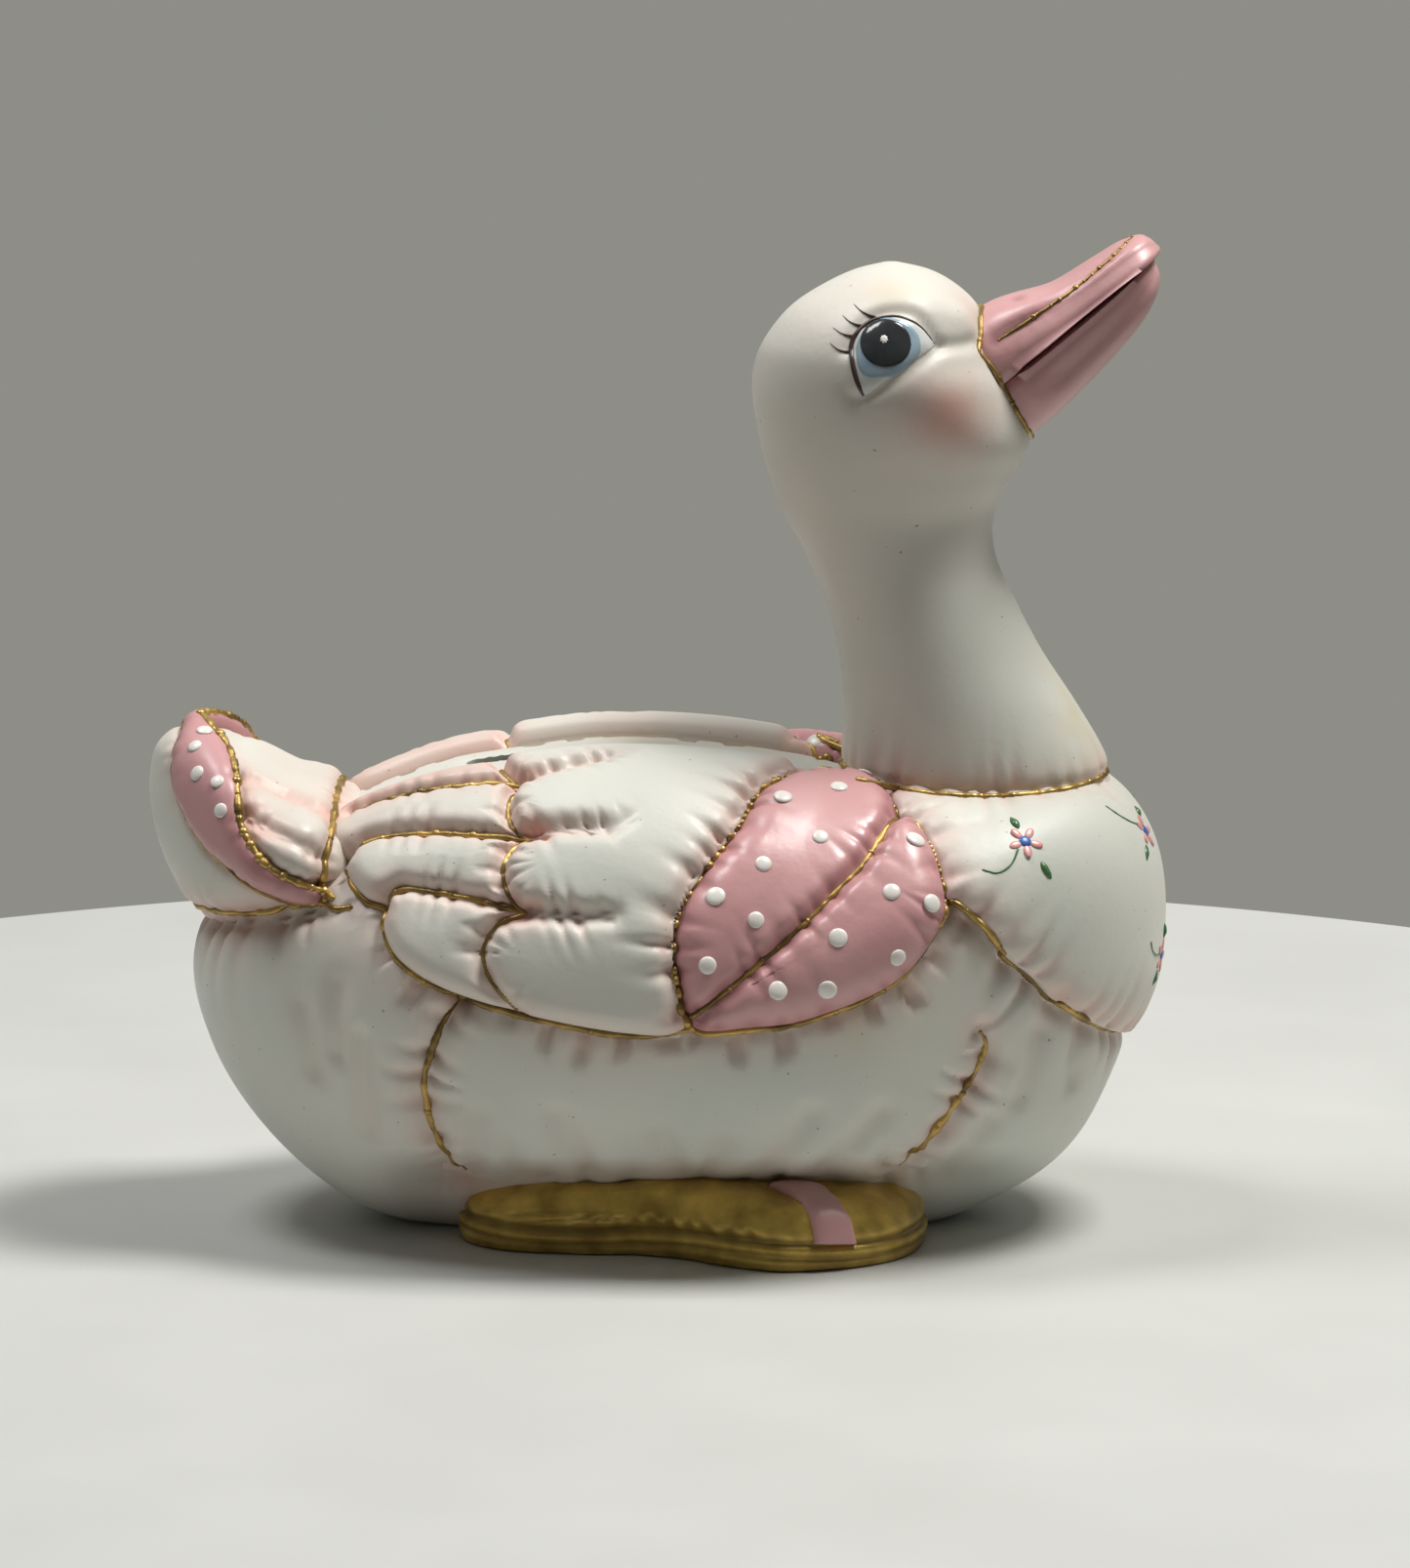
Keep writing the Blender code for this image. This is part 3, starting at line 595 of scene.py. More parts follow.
def rubber_finish():
    """Grey moulded rubber, dusty and dull."""
    material, tree, shader = shader_nodes("grey_rubber")
    colour = mixed(tree, cloud(tree, 90, 4, 0.35, 0.7), (0.17, 0.16, 0.145), (0.25, 0.24, 0.22))
    tree.links.new(colour, shader.inputs["Base Color"])
    rough_between(tree, shader, cloud(tree, 150, 3, 0.3, 0.7), 0.6, 0.85)
    bumped(tree, shader, cloud(tree, 900, 2, 0.2, 0.8), 0.00005)
    return material


rubber = rubber_finish()
print("gilding and enamels ready")

# %% [markdown]
# ## From numbers to pieces
# Every piece ends the same way: points in drawn millimetres become a mesh in metres with its place
# in its points, a finish, smooth shading, and its painted attributes. The far side of the duck is
# the near side mirrored, and mirroring turns faces inside out, so each face is reversed as well.

# %% Making a piece
piece_data = {}


def make_piece(name, points, faces, finish, **paint):
    """Make a mesh object from points in millimetres, with painted attributes."""
    mesh = bpy.data.meshes.new(name)
    mesh.from_pydata((points * MM + PLACE).tolist(), [], [list(face) for face in faces])
    mesh.shade_smooth()
    mesh.materials.append(finish)
    for label in ("blush", "stain"):
        values = np.clip(paint.get(label, np.zeros(len(points))), 0, 1).astype(np.float32)
        mesh.attributes.new(label, "FLOAT", "POINT").data.foreach_set("value", values)
    thing = bpy.data.objects.new(name, mesh)
    bpy.context.scene.collection.objects.link(thing)
    piece_data[name] = (points, faces, finish, paint)
    return thing


def mirror_piece(name, source):
    """The same piece on the far side."""
    points, faces, finish, paint = piece_data[source]
    return make_piece(name, points * (1, -1, 1), [list(face)[::-1] for face in faces], finish, **paint)


def settle(thing, slot, *nodes, body="bank"):
    """Say which body a piece rides on, and hide the frame parts that it stands for; the slot is not used."""
    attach(thing, body)
    if nodes:
        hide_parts(*nodes)


def point_normals(points, faces):
    """Normals of a closed mesh at its points."""
    mesh = bpy.data.meshes.new("measure")
    mesh.from_pydata(points.tolist(), [], [list(face) for face in faces])
    normals = np.empty(len(points) * 3, np.float32)
    mesh.vertex_normals.foreach_get("vector", normals)
    bpy.data.meshes.remove(mesh)
    return normals.reshape(-1, 3).astype(float)


# %% [markdown]
# ## The body
# An even ball of small triangles takes the body's outline, and then the quilting moves each point
# in or out along its normal. Each seam pulls in a groove, and puckers run out from it; under the
# wing they are broad dents with flat floors. The lower folds are single soft creases, and a line of
# puckers gathers the cloth above the slippers. The triangles are halved beside the seams, where the
# puckers need them.

# %% Relief of the body
SOFT_FOLDS = [
    ((-26, -26.5), (-22.5, -35)), ((-16, -20), (-11, -33)), ((1, -24), (5, -34)), ((11, -26), (9, -34)),
    ((26, -20), (18.5, -32)), ((38, -21), (28, -33)), ((-50, -8), (-49, -30)), ((-60, -2), (-58, -18)),
    ((66, -11), (63, -26)), ((73, -14), (72, -30)), ((57, -30), (50, -42)),
    ((-54, 4), (-54, -12)), ((-30, -22), (-31, -33)),
]
BELLY_SEAMS = [wing_edge, patch_edge]
fold_seams = [Seam(side_surface(smooth_path(line))[0]) for line in SOFT_FOLDS]


def near_side(points):
    """Fold every point onto the near side."""
    return np.stack((points[:, 0], -np.abs(points[:, 1]), points[:, 2]), 1)


def body_relief(points):
    """Height, pink and stain of the body's skin; the pink in the grooves, the dents and near the bottom is
    painted shade as well.
    """
    folded = near_side(points)
    belly, belly_arc = beside(folded, BELLY_SEAMS)
    sides, sides_arc = beside(folded, [rear_seam, front_seam])
    chest, chest_arc = beside(folded, [bib_seam])
    tail, tail_arc = beside(folded, [tail_seam])
    neck, _ = beside(folded, [neck_ring])
    fold, _ = beside(folded, fold_seams)
    hem, hem_arc = beside(folded, [hem_seam])
    below = soft_step((60 - folded[:, 2]) / 14)
    belly_dents = petals(belly, belly_arc, 7.2, 8.5) * (0.35 + 0.65 * below)
    side_dents = puckers(sides, sides_arc, 5.2, 5.5)
    hem_dents = puckers(hem, hem_arc, 8.4, 9.0)
    chest_dents = puckers(chest, chest_arc, 7.5, 8.0)
    tail_dents = puckers(tail, tail_arc, 6.2, 8.5)
    height = -1.2 * groove(belly, 2.0) - 1.5 * groove(sides, 2.0) - 1.5 * groove(chest, 2.3)
    height -= 1.6 * groove(tail, 2.4) + 1.25 * groove(fold, 2.2) + 0.4 * groove(neck, 2.0)
    height -= 1.5 * belly_dents + 1.6 * side_dents + 1.8 * chest_dents + 2.0 * tail_dents + 2.2 * hem_dents
    height += 0.25 * handmade(points)
    # Pink airbrush along the seams and in the dents, and more near the bottom above the slippers; there it
    # darkens the clay as painted shade too.
    blush = 0.36 * groove(belly, 6) + 0.4 * groove(sides, 4.5)
    blush = blush + 0.35 * groove(chest, 5) + 0.5 * groove(tail, 6)
    dents = 0.3 * belly_dents + 0.4 * side_dents + 0.4 * chest_dents + 0.4 * tail_dents
    blush += dents + 0.15 * groove(fold, 3)
    blush += 0.35 * soft_step((24 - folded[:, 2]) / 18) * soft_step((55 - np.abs(folded[:, 0])) / 30)
    stain = 0.6 * groove(np.hypot(folded[:, 0] - 38, folded[:, 2] - 47), 8)
    stain += 0.5 * groove(np.hypot(folded[:, 0] - 6, folded[:, 2] - 83), 16)
    return height, blush, stain


# %% Build the body
BODY_DETAIL = 7
SLOT_MIDDLE, SLOT_LENGTH, SLOT_WIDTH = -14.0, 38.0, 5.0
STOPPER_X, HOLE_RADIUS, SEAT_RADIUS, SEAT_DEPTH = 3.0, 13.0, 16.0, 3.0
WALL = 4.5
SEAM_REACH = 7.5
TUCK_SHARE = 0.3
TUCK_TOP, TUCK_DEPTH = 20, 11
TUCK_MIDDLE, TUCK_REACH, TUCK_FADE = 8, 62, 18
SLOT_CUT = (60, 95)
FAR_OFF = 99
BELOW_FLOOR = -2


def slot_distance(points):
    """How far points are from the coin slot's edge, seen from above."""
    run = np.clip(points[:, 0] - SLOT_MIDDLE, -(SLOT_LENGTH - SLOT_WIDTH) / 2, (SLOT_LENGTH - SLOT_WIDTH) / 2)
    gap = np.hypot(points[:, 0] - SLOT_MIDDLE - run, points[:, 1])
    return np.where(points[:, 2] > SLOT_CUT[0], np.abs(gap - SLOT_WIDTH / 2), FAR_OFF)


def refined(points, faces, wanted):
    """Halve the edges of a unit ball between wanted points, and keep it round."""
    ball = bmesh.new()
    corners = [ball.verts.new(point) for point in points]
    for face in faces:
        ball.faces.new([corners[i] for i in face])
    ball.verts.index_update()
    edges = [edge for edge in ball.edges if all(wanted[corner.index] for corner in edge.verts)]
    bmesh.ops.subdivide_edges(ball, edges=edges, cuts=1, use_grid_fill=True)
    bmesh.ops.triangulate(ball, faces=ball.faces[:])
    ball.verts.index_update()
    finer = np.array([corner.co for corner in ball.verts])
    finer_faces = [[corner.index for corner in face.verts] for face in ball.faces]
    ball.free()
    return finer / np.linalg.norm(finer, axis=1, keepdims=True), finer_faces


def tucked(points):
    """Draw the lower body in, so that it meets the tops of the slippers."""
    low = soft_step((TUCK_TOP - points[:, 2]) / TUCK_DEPTH)
    tuck = low * soft_step((TUCK_REACH - np.abs(points[:, 0] - TUCK_MIDDLE)) / TUCK_FADE)
    return points * np.stack((np.ones(len(points)), 1 - TUCK_SHARE * tuck, np.ones(len(points))), 1)


unit_points, unit_faces = ball_mesh(BODY_DETAIL)
quilting = BELLY_SEAMS + [rear_seam, front_seam, bib_seam, tail_seam, hem_seam]
seam_near = beside(near_side(body_skin.shaped(unit_points)), quilting)[0] < SEAM_REACH
unit_points, unit_faces = refined(unit_points, unit_faces, seam_near)
body_points = body_skin.shaped(unit_points)
body_height, body_blush_and_shade, body_stain = body_relief(body_points)
body_height -= 0.5 * groove(slot_distance(body_points), 1.0)
body_points += body_skin.facing(body_points) * body_height[:, None]
body_points = tucked(body_points)
body_points[:, 2] = np.maximum(body_points[:, 2], 0)
body = make_piece("body", body_points, unit_faces, bisque, blush=body_blush_and_shade, stain=body_stain)


def cutter_prism(name, outline, low, high):
    """A closed prism along Z from an outline in X and Y."""
    count = len(outline)
    points = np.array([(x, y, low) for x, y in outline] + [(x, y, high) for x, y in outline], float)
    faces = [(i, (i + 1) % count, count + (i + 1) % count, count + i) for i in range(count)]
    faces += [tuple(range(count))[::-1], tuple(range(count, 2 * count))]
    return make_piece(name, points, faces, bisque)


def carve(thing, cutters):
    """Cut several solids out of a piece, and keep the result as its plain mesh."""
    for cutter in cutters:
        cut = thing.modifiers.new(cutter.name, "BOOLEAN")
        cut.operation = "DIFFERENCE"
        cut.solver = "EXACT"
        cut.object = cutter
    carved = bpy.data.meshes.new_from_object(thing.evaluated_get(bpy.context.evaluated_depsgraph_get()))
    thing.modifiers.clear()
    thing.data = carved
    for cutter in cutters:
        bpy.data.objects.remove(cutter, do_unlink=True)
    carved.set_sharp_from_angle(angle=radians(45))


def circle(radius, middle=0.0, sides=72):
    """A circle's points."""
    turns = [2 * pi * i / sides for i in range(sides)]
    return [(middle + radius * cos(turn), radius * sin(turn)) for turn in turns]


hollow_unit, hollow_faces = ball_mesh(4)
hollow_points = body_skin.shaped(hollow_unit)
hollow_points = tucked(hollow_points - body_skin.facing(hollow_points) * (WALL + 1.0))
hollow_points[:, 2] = np.maximum(hollow_points[:, 2], WALL + 2.5)
hollow = make_piece("hollow", hollow_points, hollow_faces, bisque)
half_turn = [pi * i / 12 - pi / 2 for i in range(13)]
slot_reach = (SLOT_LENGTH - SLOT_WIDTH) / 2
slot_outline = []
for way in (1, -1):
    for turn in half_turn:
        bow, side = way * SLOT_WIDTH / 2 * cos(turn), way * SLOT_WIDTH / 2 * sin(turn)
        slot_outline.append((SLOT_MIDDLE + way * slot_reach + bow, side))
carve(body, [
    hollow,
    cutter_prism("slot_cut", slot_outline, *SLOT_CUT),
    cutter_prism("hole_cut", circle(HOLE_RADIUS, STOPPER_X), BELOW_FLOOR, 15),
    cutter_prism("seat_cut", circle(SEAT_RADIUS, STOPPER_X), BELOW_FLOOR, SEAT_DEPTH),
])
settle(body, "bisque", "body_shell")
print("body:", len(body.data.polygons), "faces")

# %% [markdown]
# ## Quilted panels
# A panel is a cushion pressed onto the body. It starts as rings that shrink from its outline to its
# middle, laid on the body's skin, and each point rises by the panel's relief. A second, plain
# layer of rings sinks just below the skin and closes it underneath, so the panel is a solid.

# %% A panel from its outline
def turned_out(points, faces, row, facing):
    """Reverse all faces if the first, between the first two rows of points, doesn't face the given way."""
    corner = np.cross(points[1] - points[0], points[row] - points[0])
    return [face[::-1] for face in faces] if corner @ facing < 0 else faces


def panel(name, outline, middle, surface, relief, finish, rings, spacing, sink=0.9):
    """A closed cushion over an outline on a surface."""
    edge = evenly(outline, spacing, closed=True)
    if (edge[:, 0] * np.roll(edge[:, 1], -1) - np.roll(edge[:, 0], -1) * edge[:, 1]).sum() < 0:
        edge = edge[::-1]
    count = len(edge)
    shares = (np.arange(rings, 0, -1) / rings) ** 0.85
    top = np.concatenate([middle + (edge - middle) * share for share in shares] + [[middle]])
    under_shares = np.linspace(1, 0, 9)[1:-1]
    under = np.concatenate([middle + (edge - middle) * share for share in under_shares] + [[middle]])
    base, facing = surface(top)
    height, paint = relief(top, base)
    lower, lower_facing = surface(np.concatenate((edge, under)))
    points = np.concatenate((base + facing * height[:, None], lower - lower_facing * sink))
    faces = []
    last_top = rings * count

    def band(outer, inner, flip):
        for i in range(count):
            j = (i + 1) % count
            face = (outer + i, outer + j, inner + j, inner + i)
            faces.append(face[::-1] if flip else face)

    def cap(ring, tip, flip):
        for i in range(count):
            face = (ring + i, ring + (i + 1) % count, tip)
            faces.append(face[::-1] if flip else face)

    for ring in range(rings - 1):
        band(ring * count, (ring + 1) * count, False)
    cap((rings - 1) * count, last_top, False)
    first_under = last_top + 1
    band(0, first_under, True)
    for ring in range(len(under_shares)):
        band(first_under + ring * count, first_under + (ring + 1) * count, True)
    cap(first_under + len(under_shares) * count, len(points) - 1, True)
    faces = turned_out(points, faces, count, facing[0])
    spare = np.zeros(len(points) - len(top))
    paint = {label: np.concatenate((values, spare)) for label, values in paint.items()}
    return make_piece(name, points, faces, finish, **paint)


# %% [markdown]
# ## The wings
# One wing is three rows of feathers: short coverts in front, with rounded tips, over the long
# flight feathers behind. The coverts stand a step above the flight feathers, and each seam dips
# between two cushions. Three valleys fade forwards without gold, as on the real wing.

# %% Relief of a wing
WING_RISE = 3.0
COVERT_STEP = 0.9
tip_line = np.vstack([np.array(line, float) for line in COVERT_TIPS])
tip_order = np.argsort(tip_line[:, 1])
wing_outline = smooth_path(WING_EDGE, closed=True)
patch_outline = smooth_path(PATCH_EDGE, closed=True)


def wing_relief(chart, base):
    """Height and paint of a wing."""
    edge, edge_arc = beside(base, [wing_edge])
    gold, gold_arc = beside(base, feather_seams + tip_seams)
    tips, _ = beside(base, tip_seams)
    valley, valley_arc = beside(base, valleys)
    patch, patch_arc = beside(base, [patch_edge])
    outside = np.where(within(chart, patch_outline), -patch, patch)
    covert = chart[:, 0] > np.interp(chart[:, 1], tip_line[tip_order, 1], tip_line[tip_order, 0])
    step = COVERT_STEP * np.where(covert, soft_step(tips / 1.4), 0)
    nearest = np.minimum(edge, gold)
    height = WING_RISE * rounded(edge, 3.6) + step + 0.7 * (1 - np.exp(-nearest / 3.2))
    fade = soft_step((-1 - chart[:, 0]) / 10)
    gold_dents = puckers(gold, gold_arc, 3.7, 3.0) * soft_step((edge - 1) / 3)
    valley_dents = puckers(valley, valley_arc + 0.4 * chart[:, 1], 3.8, 3.0) * fade
    patch_dents = puckers(outside, patch_arc, 4.9, 5.6) * (outside > 0)
    height -= 2.0 * groove(gold, 1.25) + 2.0 * groove(valley, 1.7) * fade
    height -= 1.3 * gold_dents + 1.5 * valley_dents + 2.1 * patch_dents
    height -= 1.7 * groove(outside, 1.8)
    height = np.where(outside < 0, -0.4, height)
    height += 0.12 * handmade(base * 1.7)
    high = soft_step((chart[:, 1] - 30) / 25) * soft_step((-20 - chart[:, 0]) / 12)
    # Pink airbrush along the gold seams, the valleys, the edges and in the dents, which is also painted shade
    # there, and a little on the upper rear feathers.
    blush = 0.5 * groove(gold, 3.2) + 0.4 * fade * groove(valley, 2.6)
    blush = blush + 0.6 * groove(outside, 3.6) + 0.35 * groove(edge, 3)
    blush += 0.35 * gold_dents + 0.5 * valley_dents + 0.6 * patch_dents + 0.35 * high
    floor = np.where((edge > 1.5) & (outside > 0), 0.5, -0.6)
    return np.maximum(height, floor), {"blush": blush}


RINGS_ON_WING = 62
right_wing = panel(
    "right_wing_quilt", wing_outline, (-8, 32), side_surface, wing_relief, bisque, RINGS_ON_WING, 0.7,
)
left_wing = mirror_piece("left_wing_quilt", "right_wing_quilt")
settle(right_wing, "bisque", "right_wing")
settle(left_wing, "bisque", "left_wing")
print("wing:", len(right_wing.data.polygons), "faces")

# %% [markdown]
# ## The shoulder patches
# Each wing carries a dotted rose patch, sewn from two pieces along a slanting seam. Both pieces
# share one relief, so their cushions meet at the seam, and each keeps only its own side of it.

# %% Two halves of a patch
PATCH_RISE = 4.6


def patch_relief(chart, base):
    """Height and paint of a patch."""
    edge, edge_arc = beside(base, [patch_edge])
    middle, middle_arc = beside(base, [patch_middle])
    dents = puckers(edge, edge_arc, 4.8, 4.0) + 0.8 * puckers(middle, middle_arc, 4.2, 4.0)
    height = 0.4 + (PATCH_RISE - 0.4) * rounded(edge, 5.5) + 0.5 * (1 - np.exp(-np.minimum(edge, middle) / 4))
    height -= 1.7 * groove(middle, 1.5) + 1.0 * dents
    height += 0.1 * handmade(base * 2)
    # On the rose glaze this darkens the seams and the dents: painted shade.
    blush = 0.4 * groove(edge, 2.2) + 0.45 * groove(middle, 2.2) + 0.5 * dents
    return height, {"blush": blush}


middle_path = smooth_path(PATCH_MIDDLE_SEAM)
foot_at = np.linalg.norm(patch_outline - PATCH_MIDDLE_SEAM[-1], axis=1).argmin()
top_at = np.linalg.norm(patch_outline - PATCH_MIDDLE_SEAM[0], axis=1).argmin()
upper_outline = np.vstack((patch_outline[foot_at:top_at + 1], middle_path))
lower_outline = np.vstack((patch_outline[top_at:], patch_outline[:foot_at + 1], middle_path[::-1]))
RINGS_ON_PATCH = 44
for half, outline, middle in (("upper", upper_outline, (20, 32)), ("lower", lower_outline, (35, 17))):
    near_patch = panel(
        f"right_{half}_patch_quilt", outline, middle, side_surface, patch_relief, rose, RINGS_ON_PATCH, 0.6
    )
    far_patch = mirror_piece(f"left_{half}_patch_quilt", near_patch.name)
    settle(near_patch, "rose", f"right_{half}_patch")
    settle(far_patch, "rose", f"left_{half}_patch")
    print(half, "patch:", len(near_patch.data.polygons), "faces")

# %% [markdown]
# ## The bib
# The bib wraps round the chest, so its flat drawing is made from directions: every point is a
# direction from inside the chest, laid out flat as on a globe seen from the front. Rings that
# shrink on that flat map make even rings on the chest.

# %% Flat map of the chest
CHEST_HEART = np.array((50.0, 0.0, 52.0))
CHEST_TILT = radians(18)
CHEST_WAY = Vector((cos(CHEST_TILT), 0, sin(CHEST_TILT)))
CHEST_UP = Vector((-sin(CHEST_TILT), 0, cos(CHEST_TILT)))
MAP_SCALE = 40


def chest_chart(points):
    """Lay points of the chest out flat, as angles from the bib's middle."""
    ways = np.asarray(points, float) - CHEST_HEART
    ways /= np.linalg.norm(ways, axis=1, keepdims=True)
    away = np.arccos(np.clip(ways @ np.array(CHEST_WAY), -1, 1))
    turn = np.arctan2(ways @ np.array(CHEST_UP), -ways[:, 1])
    return np.stack((away * np.cos(turn), away * np.sin(turn)), 1) * MAP_SCALE


def chest_surface(chart):
    """Points and normals of the body's skin at places on the flat map."""
    angles = np.asarray(chart, float) / MAP_SCALE
    away = np.linalg.norm(angles, axis=1)
    turn = np.arctan2(angles[:, 1], angles[:, 0])
    ahead, up = np.array(CHEST_WAY), np.array(CHEST_UP)
    across = np.stack((np.zeros(len(away)), -np.cos(turn), np.zeros(len(away))), 1)
    ways = np.cos(away)[:, None] * ahead + np.sin(away)[:, None] * (across + np.sin(turn)[:, None] * up)
    points = body_skin.met(np.tile(CHEST_HEART, (len(ways), 1)), ways)
    return points, body_skin.facing(points)


ring_front = [neck_ring_point(-pi * i / 60) for i in range(0, 44)]
patch_side = side_surface([(37, 59), (39.6, 54), (41.9, 44), (45.3, 38.7), (48, 30), (48.6, 25.5)])[0]
near_half = np.vstack((ring_front, patch_side, smooth_path(BIB_SEAM)[:-1]))
far_half = near_half[::-1] * (1, -1, 1)
bib_line = np.vstack((near_half, [BIB_SEAM[-1]], far_half))
bib_edge = Seam(np.vstack((patch_side, smooth_path(BIB_SEAM))))
BIB_RISE = 2.2


def bib_relief(chart, base):
    """Height and paint of the bib."""
    folded = near_side(base)
    edge, edge_arc = beside(folded, [bib_edge])
    neck, neck_arc = beside(base, [neck_ring])
    dents = puckers(edge, edge_arc, 5.5, 6.5)
    neck_dents = puckers(neck, neck_arc, 4.6, 5.0)
    height = (0.3 + BIB_RISE * rounded(edge, 5)) * (0.55 + 0.45 * rounded(neck, 3.5))
    height *= 1 - 0.45 * soft_step((46 - base[:, 2]) / 12)
    height += 0.5 * (1 - np.exp(-np.minimum(edge, neck) / 6))
    height -= 1.2 * dents + 0.9 * neck_dents
    height += 0.2 * handmade(base * 1.2)
    # Pink airbrush along the edge, the neck seam and the dents, also painted shade there, and a little more
    # towards the bib's bottom.
    blush = 0.5 * groove(edge, 4.5) + 0.45 * groove(neck, 3.5) + 0.5 * dents + 0.4 * neck_dents
    blush += 0.18 * soft_step((52 - base[:, 2]) / 14)
    return height, {"blush": blush}


RINGS_ON_BIB = 56
bib = panel("bib_quilt", chest_chart(bib_line), (0, 0), chest_surface, bib_relief, bisque, RINGS_ON_BIB, 0.7)
settle(bib, "bisque", "breast_bib")
print("bib:", len(bib.data.polygons), "faces")

# %% [markdown]
# ## Neck and head
# A potter would throw this as one tall form, so it is a stack of level ovals, run smoothly through
# a few measured ones. The face is then pushed in and out like soft clay: a brow, a cheek, and the
# crease between them that runs from the eye to the bill.

# %% Stack the ovals
NECK_SECTIONS = [
    (66, 31, 80, 21), (78, 31.1, 79.3, 20), (83, 32.3, 77.7, 19.6), (91, 32.5, 72.9, 18.5),
    (100, 31.6, 67, 17), (110, 28.9, 61.8, 15.8), (117, 25.8, 58.8, 15.6), (124, 22.2, 58.6, 16.4),
    (131, 19.6, 62, 18.7), (138, 17.9, 65, 20.8), (146, 16.8, 62.6, 22), (151.5, 17.6, 59.2, 21.4),
    (156.3, 20.3, 56.8, 19.6), (160.2, 23.8, 55.2, 16.8), (163.5, 28.8, 51.8, 12.8),
    (165.9, 33.8, 47.6, 8.2), (167.2, 38.6, 42.6, 3.4),
]


def stacked(rings, tips):
    """Join rings of points into one closed skin, with a tip point closing each end."""
    count = len(rings[0])
    points = np.vstack([*rings, tips])
    faces = []
    for low in range(len(rings) - 1):
        for i in range(count):
            j = (i + 1) % count
            faces.append((low * count + i, low * count + j, (low + 1) * count + j, (low + 1) * count + i))
    first, last = len(points) - 2, len(points) - 1
    top = (len(rings) - 1) * count
    for i in range(count):
        j = (i + 1) % count
        faces.append((j, i, first))
        faces.append((top + i, top + j, last))
    return points, faces


NECK_SIDES = 132
NECK_STEPS = 10
around = 2 * pi * np.arange(NECK_SIDES) / NECK_SIDES
neck_rings = []
for level, back, front, half_width in smooth_path(NECK_SECTIONS, steps=NECK_STEPS):
    x = (back + front) / 2 + (front - back) / 2 * np.cos(around)
    neck_rings.append(np.stack((x, half_width * np.sin(around), np.full(NECK_SIDES, level)), 1))
neck_points, neck_faces = stacked(neck_rings, [(55, 0, 66), (40.6, 0, 167.5)])
neck_normals = point_normals(neck_points, neck_faces)

# %% [markdown]
# The face is listed as bumps, each with a place, a reach and a height, and as creases. Bumps and
# creases are set on the near side and folded over, so both sides of the face match.

# %% Push the face in and out
FACE_BUMPS = [
    ((39.6, -20, 154.6), 5.6, 0.7), ((48, -20, 146), 8.5, 1.3), ((45.5, -15.5, 161.5), 5.5, 1.1),
    ((38, -16, 163.5), 6.0, 0.6), ((53.5, -11.5, 158.5), 3.5, 0.7), ((35, -22, 141), 9.0, 0.4),
]
FACE_CREASES = [
    ([(33.2, -19.6, 155), (34.4, -18.8, 157.9), (37.4, -17.4, 159.9), (41, -17.2, 160.6),
      (44.4, -17.3, 159.6), (47.8, -17.8, 155.6), (51.3, -14.5, 154.6), (54.4, -11.3, 155)], 0.9, 1.3),
    ([(34.6, -21.6, 146.4), (39, -21.6, 148.6), (44, -20.4, 152), (48, -18, 154.4)], 0.7, 1.2),
    ([(32.6, -21.4, 147.2), (33.9, -21.4, 145.2)], 0.5, 1.0),
]
face_creases = [(Seam(smooth_path(line)), depth, width) for line, depth, width in FACE_CREASES]


def neck_relief(points):
    """Height, pink and stain of the neck and head; the pink along the neck seam, its dents and the bill's
    root is painted shade as well.
    """
    folded = near_side(points)
    ring, ring_arc = beside(points, [neck_ring])
    above = soft_step((points[:, 2] - 78) / 2.5)
    dents = puckers(ring, ring_arc, 4.7, 6.0) * above
    height = -0.75 * dents - 0.7 * groove(ring, 1.5)
    for place, reach, rise in FACE_BUMPS:
        height += rise * groove(np.linalg.norm(folded - place, axis=1), reach)
    for crease, depth, width in face_creases:
        height -= depth * groove(beside(folded, [crease])[0], width)
    height += 0.12 * handmade(points)
    # Pink airbrush on the cheek and a little on top of the head; along the neck seam, its dents and the root
    # of the bill the pink is painted shade too.
    cheek = np.linalg.norm((folded - (50.3, -19.8, 143.2)) * (1, 0.8, 1.1), axis=1)
    blush = 0.95 * groove(cheek, 7.6) + 0.55 * groove(ring, 4.5) + 0.5 * dents
    blush += 0.35 * groove(np.linalg.norm(folded - (54, -8, 160.5), axis=1), 4)
    blush += 0.12 * soft_step((folded[:, 2] - 100) / 30)
    stain = 0.75 * groove(np.linalg.norm((folded - (71, -8, 90)) * (1, 1, 0.55), axis=1), 7)
    stain += 0.35 * groove(np.linalg.norm(folded - (40, -14, 163), axis=1), 5)
    return height, blush, stain


neck_height, neck_blush_and_shade, neck_stain = neck_relief(neck_points)
neck_points += neck_normals * neck_height[:, None]
neck = make_piece("neck_and_head_cast", neck_points, neck_faces, bisque, blush=neck_blush_and_shade, stain=neck_stain)
settle(neck, "bisque", "neck_and_head")
print("neck and head:", len(neck.data.polygons), "faces")

# %% [markdown]
# ## The bill
# Each half of the bill has its own frame that starts in the mouth line and points forwards and up.
# Sections along it give its depth and width, and a long dip beside the mouth line makes the lip.

